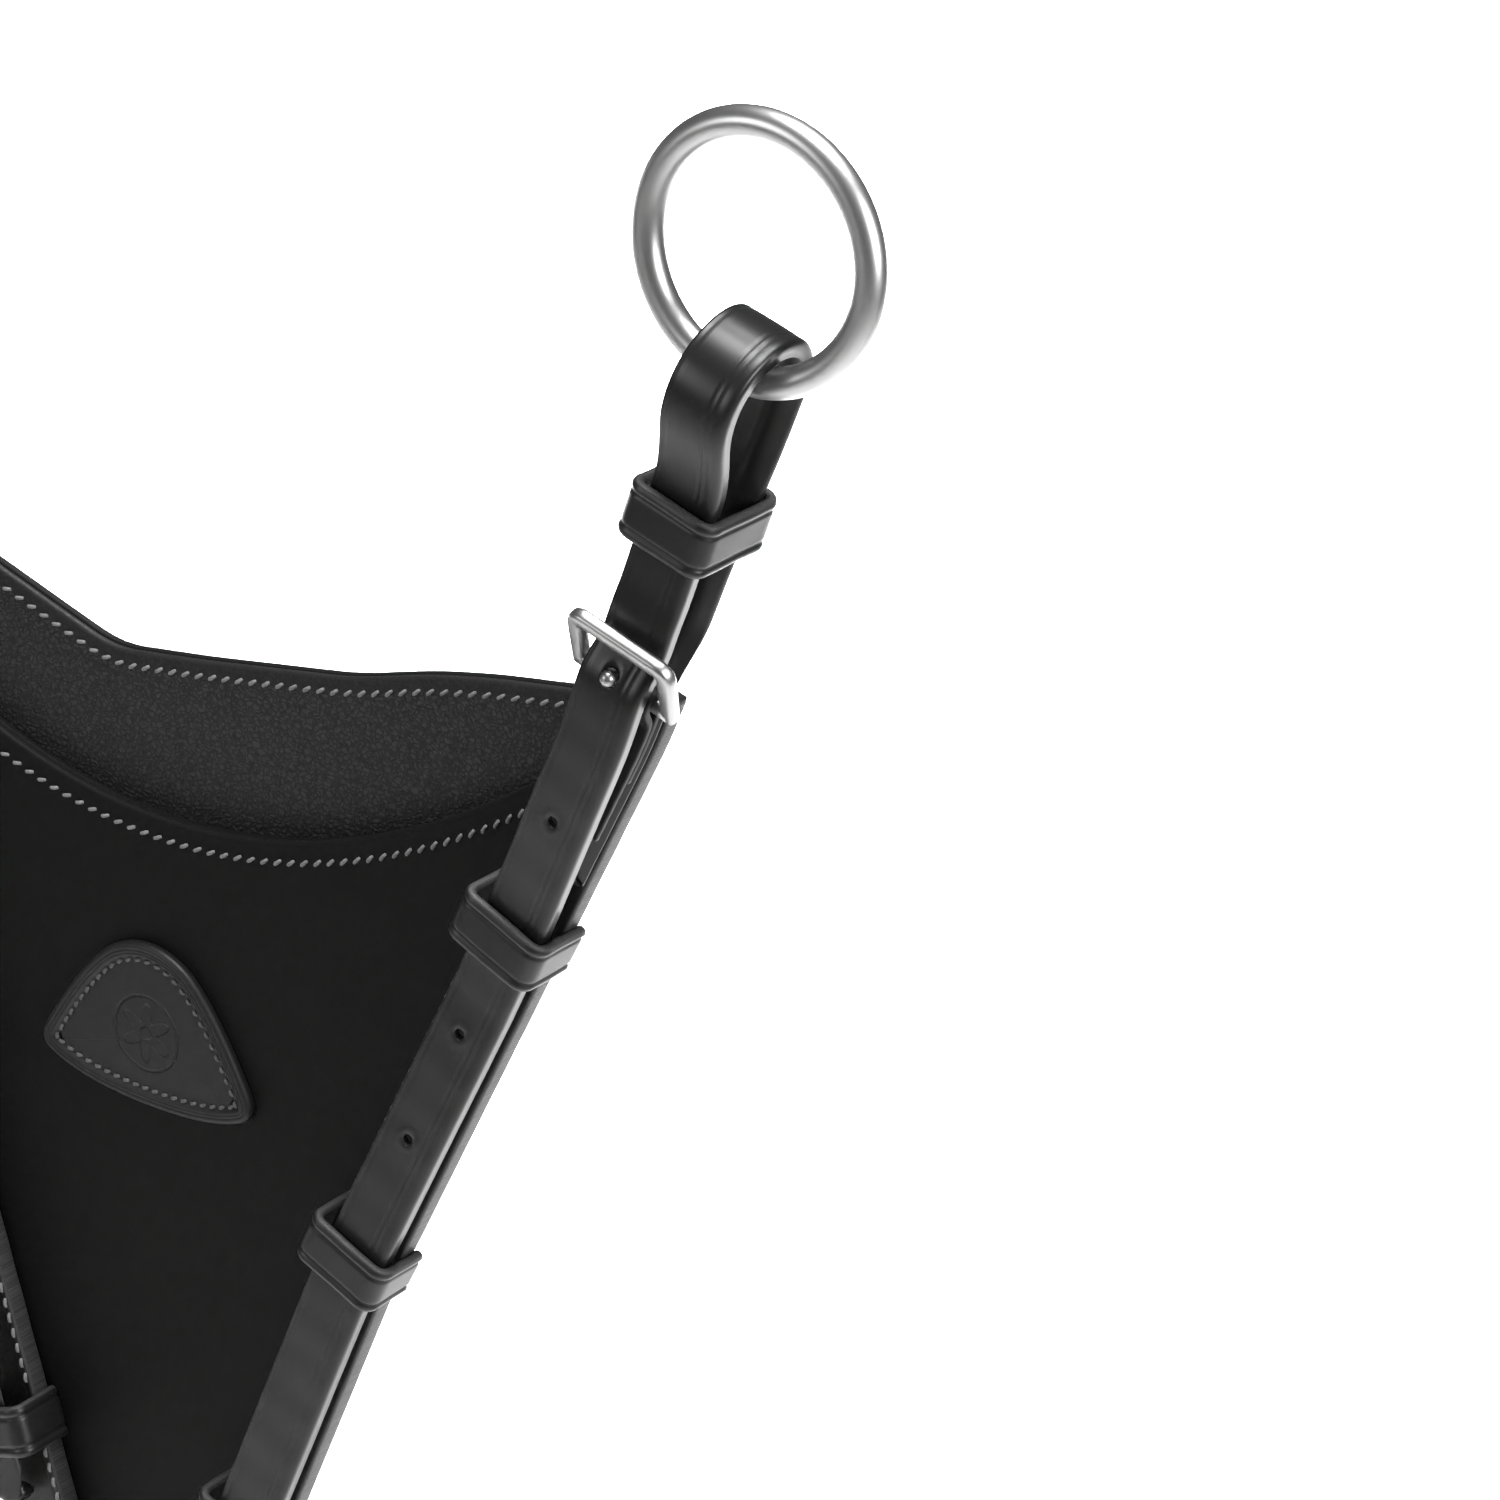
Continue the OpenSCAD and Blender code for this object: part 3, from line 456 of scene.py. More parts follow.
def front_mid(s):
    """Depth of the strap's middle on its front run."""
    if s < lift_from:
        return low_mid
    if s < heel_at:
        t = (s - lift_from) / (heel_at - lift_from)
        return low_mid + (top_mid - low_mid) * (t + ease(t)) / 2
    if s < heel_at + 14:
        return top_mid + (under_bar - top_mid) * ease((s - heel_at - 1) / 9.5)
    if s < keeper_high_end:
        flat = under_bar + (keeper_mid - under_bar) * smooth((s - heel_at - 14) / 5)
        return flat + 0.6 * smooth((s - keeper_high_end + 5) / 5)
    return keeper_mid + 0.6 + (loop_axis + loop_mid_r - keeper_mid - 0.6) * ease((s - keeper_high_end)
                                                                               / (loop_mid - keeper_high_end))


def back_mid(s):
    """Depth of the strap's middle on its back run, from the loop down to the tail."""
    if s > gap_low:
        return strap_t / 2 + (loop_axis - loop_mid_r - strap_t / 2) * ease((s - gap_low) / (loop_mid - gap_low))
    return strap_t / 2 + (tail_face - tail_t / 2 - strap_t / 2) * ease((gap_low - s) / (gap_low - heel_at + 0.6))


def front_depth(s):
    return front_mid(s) + strap_t / 2


strap_line = [(s, front_mid(s)) for s in np.arange(billet_tip, loop_mid, 0.5)]
strap_line += [(loop_mid + loop_mid_r * sin(a), loop_axis + loop_mid_r * cos(a)) for a in np.radians(np.arange(0, 181, 3.0))]
strap_line += [(s, back_mid(s)) for s in np.arange(loop_mid - 0.5, tail_end, -0.5)]
strap_creases = ((-4.5, 0.16, 0.22), (2.9, 0.13, 0.18), (4.1, 0.15, 0.2))
strap_frames = path_frames(strap_line, 0.8)
strap_length = strap_frames[-1][3]
skived = strap_length - (gap_low - tail_end) - 4


def ring_strap_section(i, run):
    """Full width, but pointed at the billet's tip and feathered at the tail."""
    width = strap_w
    if run < 7:
        width = strap_w * (0.34 + 0.66 * sqrt(max(run, 0.02) / 7))
    thick = strap_t + (tail_t - strap_t) * smooth((run - skived) / 14)
    return strap_section(width, thick, strap_creases if width > 12 else (), crown=0.1, edge=0.95)


front_stations = np.arange(billet_tip, loop_mid, 0.5)
front_places = np.array([on_fork(s, 0, front_mid(s)) for s in front_stations])
front_runs = np.concatenate([[0], np.cumsum(np.linalg.norm(np.diff(front_places, axis=0), axis=1))])
hole_stations = [tongue_hole_at] + [tongue_hole_at - first_hole_gap - k * hole_pitch for k in range(hole_count)]
hole_runs = [float(np.interp(s, front_stations, front_runs)) for s in hole_stations]


def billet_relief(u, v, skin, run):
    """The rolled lip round each hole, and the slight ripple of used leather."""
    ripple = 0.05 * sin(run * 0.21 + u * 0.3) + 0.03 * sin(run * 0.67 + 1.3)
    if skin > 0.3:
        return ripple * 0.5 if skin < 1.5 else 0.0
    lip = 0.0
    for k in range(-1, hole_count):
        away = hypot(u, run - hole_runs[k + 1])
        lip += 0.17 * np.exp(-((away - 1.65) / 0.5) ** 2) - (0.3 if k >= 0 else 0.7) * np.exp(-(away / 1.2) ** 2)
    return ripple + lip


def make_ring_strap(hand, sign):
    points, faces, marks = sweep("", strap_frames, ring_strap_section, billet_leather, relief=billet_relief)
    points, faces = mirrored(points, faces, sign)
    piece = make_mesh(f"ring_strap_leather_{hand}", points, faces, billet_leather, marks)
    drills = []
    for k, at in enumerate(hole_stations):
        place = on_fork(at, 0, front_mid(at))
        drills.append(((sign * place[0], place[1], place[2]), (0, 1, 0), hole_r if k else 1.5, strap_t + 1.6))
    bore(piece, drills)
    fit(piece, f"ring_strap_{hand}", "bib_and_forks", "strap_leather")


both_hands(make_ring_strap)


# ---------------------------------------------------------------------------------------------------------------------
# Fork straps. A wider, thicker strap under each billet, sewn down to the bib, cut square at the foot and butted
# against its twin on the centre line.
base_in, base_out = 1.6, 0.3
chest_join = fork_foot + 6.8
fork_frames = path_frames([(s, base_t / 2) for s in np.arange(-16, base_end + 0.01, 0.8)], 1.0)
fork_section = strap_section(strap_w + base_in + base_out, base_t, ((-6.1, 0.2, 0.3),), edge=0.7)


def make_fork_strap(hand, sign):
    shift = (base_out - base_in) / 2
    points, faces, marks = sweep("", [(p + shift * a, a, o, s) for p, a, o, s in fork_frames],
                                 lambda i, s: fork_section, base_leather,
                                 relief=lambda u, v, skin, s: 0.04 * sin(s * 0.5 + u))
    points, faces = mirrored(points, faces, sign)
    piece = make_mesh(f"fork_strap_leather_{hand}", points, faces, base_leather, marks)
    shape = bmesh.new()
    shape.from_mesh(piece.data)
    for place, way in (((0, 0, 0), (sign, 0, 0)), ((0, 0, chest_join * MM), (0, 0, 1))):
        geometry = shape.verts[:] + shape.edges[:] + shape.faces[:]
        cut = bmesh.ops.bisect_plane(shape, geom=geometry, plane_co=place, plane_no=way, clear_inner=True)
        rim = [e for e in cut["geom_cut"] if isinstance(e, bmesh.types.BMEdge)]
        bmesh.ops.contextual_create(shape, geom=rim)
    shape.to_mesh(piece.data)
    shape.free()
    fit(piece, f"fork_strap_{hand}", "bib_and_forks", "strap_leather")


both_hands(make_fork_strap)


# ---------------------------------------------------------------------------------------------------------------------
# Stitching. Pale waxed thread in short slanted stitches about 3 mm apart, each pulled down at its ends into the
# leather.
stitch_pitch, thread_d, stitch_l = 3.0, 0.72, 2.5
thread_finish = Finish("waxed_thread", Roughness=0.6)
thread_place = thread_finish.place()
thread_fibre = thread_finish.noise(thread_place, scale=4.0, detail=3.0)
thread_finish.feed("Base Color", thread_finish.blend(thread_fibre, 0.10, 0.36))
thread_finish.bump(thread_fibre, 0.6, 0.08)


def add_stitch(points, faces, middle, way, out, length, sink=0.24):
    """One stitch: a plump thread that dips in at both ends."""
    way, out = np.array(way, float), np.array(out, float)
    side = np.cross(way, out)
    start = len(points)
    rings, around = 9, 8
    for i in range(rings):
        t = i / (rings - 1) * 2 - 1
        girth = thread_d / 2 * (1 - 0.45 * abs(t) ** 3)
        centre = middle + way * t * length / 2 + out * (0.16 - sink * 2.4 * t ** 4)
        for j in range(around):
            a = 2 * pi * j / around + 0.5 * t
            points.append(centre + girth * (cos(a) * side + sin(a) * out) * (1 + 0.08 * cos(3 * a + 7 * t)))
    for i in range(rings - 1):
        for j in range(around):
            a, b = start + i * around, start + (i + 1) * around
            faces.append((a + j, a + (j + 1) % around, b + (j + 1) % around, b + j))
    faces.append(tuple(start + j for j in reversed(range(around))))
    faces.append(tuple(start + (rings - 1) * around + j for j in range(around)))


def stitch_row(name, node, places):
    """A row of stitches: places are (middle, way, length), all facing forward."""
    points, faces = [], []
    for middle, way, length in places:
        add_stitch(points, faces, np.array(middle, float), way, (0, -1, 0), length)
    piece = make_mesh(name, points, faces, thread_finish)
    fit(piece, node, "bib_and_forks", "thread")


def slanted(way, degrees_off):
    a = radians(degrees_off)
    x, z = way
    return np.array([x * cos(a) - z * sin(a), 0, x * sin(a) + z * cos(a)])


keeper_stations = (lower_keeper_at, middle_keeper_at, upper_keeper_at)
fork_row, fork_row_start = -strap_w / 2 - base_in / 2 - 0.05, 62.0
fork_row_count = int((upper_keeper_at + 30 - fork_row_start) / stitch_pitch)
for hand, sign in (("right", 1), ("left", -1)):
    places = []
    for k in range(fork_row_count + 1):
        s = fork_row_start + k * stitch_pitch
        if min(abs(s - at) for at in keeper_stations) > keeper_w / 2 + stitch_l / 2 + 0.2:
            p, a = on_fork(s, fork_row, base_t), lean_at(s)
            places.append(((sign * p[0], p[1], p[2]), slanted((sign * sin(a), cos(a)), 9 * sign), stitch_l * 0.92))
    stitch_row(f"fork_thread_{hand}", f"fork_stitching_{hand}", places)


# ---------------------------------------------------------------------------------------------------------------------
# Chapes. A thin fold of leather on each fork holds the buckle's heel bar. It is slotted for the tongue and its raw
# sides show as a rough layer between the billet and the fork strap.
chape_end = upper_keeper_at + 27
chape_leather = strap_leather("chape_leather", scuffs=0.0, face=0.011, roughness=0.6)
chape_mid = heel_d / 2 + 0.15 + chape_t / 2
chape_line = [(s, chape_flat - chape_t / 2 + (heel_depth + wrap_r - chape_flat) * ease((s - bend_at - 3) / 5.2))
              for s in np.arange(chape_end, heel_at - 0.3, 0.5)]
chape_line += [(heel_at + chape_mid * cos(a), heel_depth + chape_mid * sin(a))
               for a in np.radians(np.arange(80, -91, -8.0))]
chape_line += [(s, tail_face + 0.05 + chape_t / 2) for s in np.arange(heel_at - 0.5, chape_end + 12, -0.5)]
chape_frames = path_frames(chape_line, 0.7)


def make_chape(hand, sign):
    section = strap_section(strap_w, chape_t, edge=0.3, fine=0.8)
    points, faces, marks = sweep("", chape_frames, lambda i, s: section, chape_leather,
                                 relief=lambda u, v, skin, s: 0.03 * sin(s * 1.7 + 2 * u))
    points, faces = mirrored(points, faces, sign)
    piece = make_mesh(f"chape_leather_{hand}", points, faces, chape_leather, marks)
    place = on_fork(heel_at + 0.8, 0, heel_depth + 1)
    bore(piece, [((sign * place[0], place[1], place[2]), (0, 1, 0), 2.0, 7.5)])
    fit(piece, f"chape_{hand}", "bib_and_forks", "strap_leather")


both_hands(make_chape)


# ---------------------------------------------------------------------------------------------------------------------
# Keepers. Bands of the same leather, creased along both rims. The three fixed ones on each fork go down beside the
# fork strap and are sewn under it, and the running keeper is a closed band above the buckle.
keeper_leather = strap_leather("keeper_leather", scuffs=0.0, face=0.011, roughness=0.36)
keeper_section = strap_section(keeper_w, keeper_t, ((-3.0, 0.28, 0.3), (3.0, 0.28, 0.3), (-3.9, -0.12, 0.4),
                                                    (3.9, -0.12, 0.4)), edge=0.8, fine=0.3)


def band_line(half_w, low, high, r, closed):
    """The middle line of a band round a strap as (across, depth) points, from one foot over the top to the other."""
    line = []
    corners = [(-half_w, high, 180, 90), (half_w, high, 90, 0)]
    if closed:
        corners += [(half_w, low, 0, -90), (-half_w, low, -90, -180)]
    else:
        line += [(-half_w, d) for d in np.arange(low, high - r, 0.7)]
    for x, d, a0, a1 in corners:
        cx, cd = x - (r if x > 0 else -r), d - (r if d == high else -r)
        line += [(cx + r * cos(radians(a)), cd + r * sin(radians(a))) for a in np.linspace(a0, a1, 9)]
    if not closed:
        line += [(half_w, d) for d in np.arange(high - r - 0.7, low - 0.01, -0.7)]
    else:
        line.append(line[0])
    dense = np.array(line)
    run = np.concatenate([[0], np.cumsum(np.hypot(*np.diff(dense, axis=0).T))])
    n = int(run[-1] / 0.7)
    even = np.linspace(0, run[-1], n + 1)
    out = np.stack([np.interp(even, run, dense[:, i]) for i in range(2)], 1)
    return (out[:-1] if closed else out), even


def make_keeper(piece_name, node, body, sign, at, low, high, half_w, shift, closed):
    line, even = band_line(half_w, low, high, 2.0, closed)
    a = lean_at(at)
    up = np.array([sin(a), 0, cos(a)])
    frames, n = [], len(line)
    for i, (u, d) in enumerate(line):
        before, after = line[(i - 1) % n] if closed or i else line[0], line[(i + 1) % n] if closed or i < n - 1 else line[i]
        du, dd = after - before
        way = du * across_fork(at) + dd * np.array([0, -1, 0])
        way /= np.linalg.norm(way)
        frames.append((on_fork(at, u + shift, d), up, np.cross(up, way) * -1, even[i]))
    points, faces, marks = sweep("", frames, lambda i, s: keeper_section, keeper_leather, closed=closed,
                                 relief=lambda u, v, skin, s: 0.06 * sin(s * 0.45 + at) * (u / 4.5))
    faces = [tuple(reversed(f)) for f in faces]
    points, faces = mirrored(points, faces, sign)
    piece = make_mesh(piece_name, points, faces, keeper_leather, marks)
    fit(piece, node, body, "strap_leather")


keeper_back = back_mid(keeper_high_end) - strap_t / 2 - keeper_play
keeper_front = keeper_mid + 0.7 + strap_t / 2 + keeper_play
for hand, sign in (("right", 1), ("left", -1)):
    fixed_half = (strap_w + base_in + base_out + keeper_t) / 2
    upper_inside = front_depth(upper_keeper_at + keeper_w / 2) + 0.4
    for word, at, inside in (("upper", upper_keeper_at, upper_inside), ("middle", middle_keeper_at, low_face + 0.3),
                             ("lower", lower_keeper_at, low_face + 0.3)):
        make_keeper(f"{word}_keeper_leather_{hand}", f"{word}_keeper_{hand}", "bib_and_forks", sign, at, 0.0,
                    inside + keeper_t / 2, fixed_half, (base_out - base_in) / 2, False)
    make_keeper(f"running_keeper_leather_{hand}", f"running_keeper_{hand}", f"running_keeper_{hand}", sign,
                running_keeper_at, keeper_back - keeper_t / 2, keeper_front + keeper_t / 2,
                (strap_w + keeper_t) / 2 + keeper_play, 0.0, True)


# ---------------------------------------------------------------------------------------------------------------------
# Polished steel. Plated rings, buckles and snap: bright, a little soft from handling, with fine rub marks.
def steel_finish(name, roughness=0.2, shade=0.62):
    f = Finish(name, Metallic=1.0)
    place = f.place()
    cloud = f.noise(place, scale=0.12, detail=4.0)
    rub = f.noise(f.place(scale=(1, 1, 7)), scale=1.6, detail=4.0, rough=0.7)
    f.feed("Base Color", f.blend(cloud, shade * 0.92, shade * 1.06))
    f.feed("Roughness", cloud * 0.06 + rub * 0.07 + (roughness - 0.065))
    f.bump(rub, 0.12, 0.02)
    return f


ring_steel = steel_finish("ring_steel", 0.36)
buckle_steel = steel_finish("buckle_steel", 0.36, 0.5)
ring_r = (ring_od - ring_wire) / 2
for hand, sign in (("right", 1), ("left", -1)):
    low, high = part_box(f"ring_{hand}")
    middle = [(low[i] + high[i]) / 2 / MM for i in range(3)]
    points, faces = [], []
    around, rounds = 180, 36
    for i in range(around):
        a = 2 * pi * i / around
        for j in range(rounds):
            b = 2 * pi * j / rounds
            r = ring_r + ring_wire / 2 * cos(b)
            points.append((middle[0] + r * cos(a), middle[1] + ring_wire / 2 * sin(b), middle[2] + r * sin(a)))
            p, q = i * rounds, (i + 1) % around * rounds
            faces.append((p + j, p + (j + 1) % rounds, q + (j + 1) % rounds, q + j))
    fit(make_mesh(f"ring_steel_{hand}", points, faces, ring_steel), f"ring_{hand}", f"ring_{hand}", "steel")


# ---------------------------------------------------------------------------------------------------------------------
# Buckles. A square frame of flat bar, bent forward from a round heel bar that lies in the chape, and a short tongue
# with a ball tip that comes up through the billet's hole.
def tube(points, faces, line, radius, around=20, flat=1.0, closed=False, axis=None):
    """Adds a rod along a line of points. flat squashes its section along the given axis."""
    line = [np.array(p, float) for p in line]
    rows = []
    out = np.array(axis if axis is not None else (0, 0, 1), float)
    for i, p in enumerate(line):
        way = line[min(i + 1, len(line) - 1)] - line[max(i - 1, 0)]
        way /= np.linalg.norm(way)
        across = np.cross(out, way)
        across /= np.linalg.norm(across)
        lift = np.cross(way, across)
        out = lift
        r = radius(i / (len(line) - 1)) if callable(radius) else radius
        rows.append(len(points))
        for j in range(around):
            a = 2 * pi * j / around
            points.append(p + r * (cos(a) * across + flat * sin(a) * lift))
    for a, b in zip(rows, rows[1:]):
        faces += [(a + j, a + (j + 1) % around, b + (j + 1) % around, b + j) for j in range(around)]
    faces += [tuple(rows[0] + j for j in reversed(range(around))), tuple(rows[-1] + j for j in range(around))]


def buckle_place(across, up, out):
    """From the buckle's own axes, at its heel bar, to the martingale's, in mm."""
    y, z = -out, up
    s, c = sin(frame_tilt), cos(frame_tilt)
    depth, along = heel_depth + (z * s - y * c), z * c + y * s
    a = lean_at(heel_at + 12)
    base = on_fork(heel_at, 0, depth)
    return base + along * np.array([sin(a), 0, cos(a)]) + across * np.array([cos(a), 0, -sin(a)])


def make_buckle(hand, sign):
    half, r = window_w / 2 + bar_w / 2, 1.9
    path = [(-half, z) for z in np.linspace(-0.9, frame_reach - r, 8)]
    path += [(-half + r - r * cos(a), frame_reach - r + r * sin(a)) for a in np.linspace(0.2, pi / 2, 8)]
    path += [(x, frame_reach) for x in np.linspace(-half + r + 0.6, half - r - 0.6, 14)]
    path += [(half - r + r * sin(a), frame_reach - r + r * cos(a)) for a in np.linspace(0, pi / 2 - 0.2, 8)]
    path += [(half, z) for z in np.linspace(frame_reach - r, -0.9, 8)]
    points, faces, rows = [], [], []
    for i, (x, z) in enumerate(path):
        before, after = path[max(i - 1, 0)], path[min(i + 1, len(path) - 1)]
        dx, dz = after[0] - before[0], after[1] - before[1]
        d = hypot(dx, dz)
        nx, nz = -dz / d, dx / d
        end = min(i, len(path) - 1 - i) / 5
        wide = bar_w / 2 * (0.86 + 0.14 * min(1, end))
        rows.append(len(points))
        for j in range(24):
            a = 2 * pi * j / 24
            u = wide * np.sign(cos(a)) * abs(cos(a)) ** 0.62
            v = bar_t / 2 * np.sign(sin(a)) * abs(sin(a)) ** 0.62
            points.append(buckle_place(x + u * nx, z + u * nz, v))
    for a, b in zip(rows, rows[1:]):
        faces += [(a + j, b + j, b + (j + 1) % 24, a + (j + 1) % 24) for j in range(24)]
    faces += [tuple(rows[0] + j for j in range(24)), tuple(rows[-1] + j for j in reversed(range(24)))]
    tube(points, faces, [buckle_place(x, 0, 0) for x in np.linspace(-half, half, 12)], heel_d / 2)
    points, faces = mirrored(points, faces, sign)
    piece = make_mesh(f"buckle_frame_steel_{hand}", points, faces, buckle_steel)
    fit(piece, f"buckle_frame_{hand}", f"buckle_frame_{hand}", "steel")

    rise, up = heel_face - heel_depth - 0.1, tongue_hole_at - heel_at
    a = lean_at(heel_at + 12)

    def tongue_place(across, z, out):
        return on_fork(heel_at, 0, heel_depth + out) + z * np.array([sin(a), 0, cos(a)]) \
            + across * np.array([cos(a), 0, -sin(a)])

    points, faces = [], []
    eye_r = heel_d / 2 + 0.55
    ring = [tongue_place(0, eye_r * sin(t), eye_r * cos(t)) for t in np.linspace(0, 2 * pi, 33)]
    tube(points, faces, ring, 0.5, around=14, flat=1.5, axis=(1, 0, 0))
    prong = [tongue_place(0, up * smooth(t * 1.4), eye_r * 0.8 + (rise - eye_r * 0.8) * t) for t in np.linspace(0, 1, 16)]
    tube(points, faces, prong, lambda t: 1.0 - 0.06 * t, around=20)
    ball = tongue_place(0, up, rise)
    start, rounds = len(points), 20
    for i in range(1, 14):
        b = pi * i / 14
        for j in range(rounds):
            c = 2 * pi * j / rounds
            points.append(ball + 1.4 * np.array([sin(b) * cos(c), -cos(b), sin(b) * sin(c)]))
    for i in range(12):
        for j in range(rounds):
            p, q = start + i * rounds, start + (i + 1) * rounds
            faces.append((p + j, q + j, q + (j + 1) % rounds, p + (j + 1) % rounds))
    faces += [tuple(start + j for j in range(rounds)), tuple(start + 12 * rounds + j for j in reversed(range(rounds)))]
    points, faces = mirrored(points, faces, sign)
    piece = make_mesh(f"buckle_tongue_steel_{hand}", points, faces, buckle_steel)
    fit(piece, f"buckle_tongue_{hand}", f"buckle_tongue_{hand}", "steel")


both_hands(make_buckle)


# ---------------------------------------------------------------------------------------------------------------------
# The bib. A matt front panel hollowed at the top, on a stiffening core, over a soft grained lining and a backing that
# stand higher behind it. The sides are sewn under the fork straps.
bib_tuck, bib_tip, bib_top, bib_curve = 3.2, 126.0, 324.0, 105.0
front_t, core_t, lining_t, backing_t, lining_rise = 2.0, 1.7, 1.6, 1.8, 27.4
side_line = [on_fork(s, bib_tuck) for s in np.arange(0, bend_at + 30, 2.0)]
side_z, side_x = [p[2] for p in side_line], [p[0] for p in side_line]


def side_at(z):
    return float(np.interp(z, side_z, side_x))


def front_edge(x):
    return bib_top + x * x / (2 * bib_curve)


notch_x, notch_z = -13.0, bib_top + lining_rise
lining_edge_line = [(-110, notch_z + 27), (-62, notch_z + 14.6), (-39, notch_z + 7.8), (-24, notch_z + 3.2),
                    (notch_x, notch_z), (6.6, notch_z + 3.1), (39, notch_z + 9.2), (56, notch_z + 14.6),
                    (68, notch_z + 17.4), (86, notch_z + 20.6), (110, notch_z + 24)]


def lining_edge(x):
    """The lining's top edge, with its corners eased."""
    xs, zs = zip(*lining_edge_line)
    return float(np.mean([np.interp(x + d, xs, zs) for d in (-4, -2, 0, 2, 4)])) - 0.12


def panel_mesh(edge, depth_front, thick, rim=0.6, wave=0.0, bulge=0.0):
    """A bib layer: a sheet between the fork straps, up the front, over its rounded top edge and down the back."""
    columns = 150
    heights = [0, 0.12, 0.25, 0.38, 0.5, 0.62, 0.72, 0.8, 0.86, 0.9, 0.93]
    drops = [12, 9, 7.5, 6.5, 5.6, 5.0, 4.4, 3.8, 3.2, 2.6, 2.0, 1.4, 1.0, rim]
    turn = [(rim * (1 - sin(a)), rim * (1 - cos(a))) for a in np.linspace(0.25, pi / 2, 5)]
    rows = [("share", h, 0.0) for h in heights] + [("drop", d, 0.0) for d in drops]
    rows += [("drop", d, y) for d, y in turn] + [("drop", 0.0, thick - rim)]
    rows += [("drop", d, thick - y) for d, y in reversed(turn[:-1])]
    rows += [("drop", d, thick) for d in reversed(drops)] + [("share", h, thick) for h in reversed(heights)]
    points, marks, faces = [], [], []
    for kind, value, y in rows:
        for c in range(columns + 1):
            a = 2 * c / columns - 1
            x, z = a * 40, 300.0
            for _ in range(7):
                top = edge(x)
                z = bib_tip + value * (top - bib_tip) if kind == "share" else top - value
                x = a * side_at(z)
            drop = edge(x) - z
            soft = wave * sin(x * 0.11 + 0.4) * np.exp(-drop / 25) + bulge * np.exp(-((drop - 8) / 5) ** 2)
            points.append((x, deck + depth_front + y - soft, z))
            marks.append((x, drop, y / thick))
    n = columns + 1
    for r in range(len(rows) - 1):
        for c in range(columns):
            p, q = r * n + c, (r + 1) * n + c
            faces.append((p, p + 1, q + 1, q))
    last = (len(rows) - 1) * n
    for r in range(len(rows) // 2):
        p, q = r * n, (len(rows) - 1 - r) * n
        p2, q2 = (r + 1) * n, (len(rows) - 2 - r) * n
        if p2 < q2:
            faces.append((p, p2, q2, q))
            faces.append((p + columns, q + columns, q2 + columns, p2 + columns))
    faces += [(c, last + c, last + c + 1, c + 1) for c in range(columns)]
    return points, faces, marks


bib_finish = Finish("bib_leather")
bib_finish.shader.inputs["Specular IOR Level"].default_value = 0.16
lay = bib_finish.place(name="lay")
bib_x, bib_drop, bib_skin = bib_finish.parts(lay)
bib_place = bib_finish.place()
bib_mottle = bib_finish.noise(bib_place, scale=0.035, detail=4.0, rough=0.6)
bib_pore = bib_finish.noise(bib_place, scale=3.2, detail=3.0, rough=0.7)
# Painted highlight: the bib layers are coloured lighter within about a millimetre of their rounded top edges, broken
# up by the pores.
bib_rim_highlight = 1 - bib_drop.rise(0.2, 0.9)
bib_finish.feed("Base Color", bib_finish.blend(bib_rim_highlight * bib_pore.rise(0.3, 0.7),
                                               bib_finish.blend(bib_mottle, 0.0028, 0.0052), 0.010))
bib_finish.feed("Roughness", bib_pore * 0.12 + 0.52)
bib_finish.bump(bib_pore, 0.25, 0.04)
bib_finish.bump(bib_finish.noise(bib_place, scale=0.08, detail=2.0), 0.25, 0.35)

lining_finish = Finish("lining_leather")
lining_finish.shader.inputs["Specular IOR Level"].default_value = 0.5
lay = lining_finish.place(name="lay")
lining_x, lining_drop, lining_skin = lining_finish.parts(lay)
lining_place = lining_finish.place()
wander = lining_finish.add("ShaderNodeTexNoise", {}, {"Vector": lining_place, "Scale": 0.6, "Detail": 3.0}, output=1)
strayed = lining_finish.add("ShaderNodeVectorMath", {"operation": "MULTIPLY_ADD"},
                            {0: wander, 1: (2.2, 2.2, 2.2), 2: lining_finish.place(scale=(1, 1, 1.25))})
pebble = lining_finish.add("ShaderNodeTexVoronoi", {"feature": "DISTANCE_TO_EDGE"},
                           {"Vector": strayed, "Scale": 0.85, "Randomness": 1.0})
pebbles = pebble.rise(0.02, 0.3)
wrinkle = lining_finish.noise(lining_finish.place(scale=(1, 1, 2.1), turn=0), scale=0.55, detail=4.0, rough=0.6)
inside_seam = lining_drop.rise(2.6, 3.6)
# Painted shade in the lining's grain: darker in the crevices between pebbles, lighter on pebble tops and wrinkle
# crests. Above the row of stitches the lining stays at the dark tone.
lining_finish.feed("Base Color", lining_finish.blend(inside_seam * (pebbles * 0.75 + wrinkle * 0.35), 0.004, 0.030))
lining_finish.feed("Roughness", 0.62 - pebbles * 0.14 + wrinkle * 0.05)
lining_finish.bump(pebbles * inside_seam, 0.8, 0.16)
lining_finish.bump(wrinkle, 0.5, 0.35)

core_back, lining_back = front_t + core_t, front_t + core_t + lining_t
for name, node, edge, depth, thick, finish, slot, extra in (
        ("bib_front_leather", "bib_front_panel", front_edge, 0.0, front_t, bib_finish, "bib_leather", {"rim": 0.7}),
        ("bib_core_leather", "bib_core", lambda x: front_edge(x) - 0.25, front_t, core_t, bib_finish, "bib_leather",
         {"rim": 0.5}),
        ("bib_lining_leather", "bib_lining", lambda x: lining_edge(x) - 0.2, core_back, lining_t, lining_finish,
         "lining_leather", {"rim": 0.75}),
        ("bib_backing_leather", "bib_backing", lining_edge, lining_back, backing_t, bib_finish, "backing_leather",
         {"rim": 0.85})):
    points, faces, marks = panel_mesh(edge, depth, thick, **extra)
    fit(make_mesh(name, points, faces, finish, marks), node, "bib_and_forks", slot)

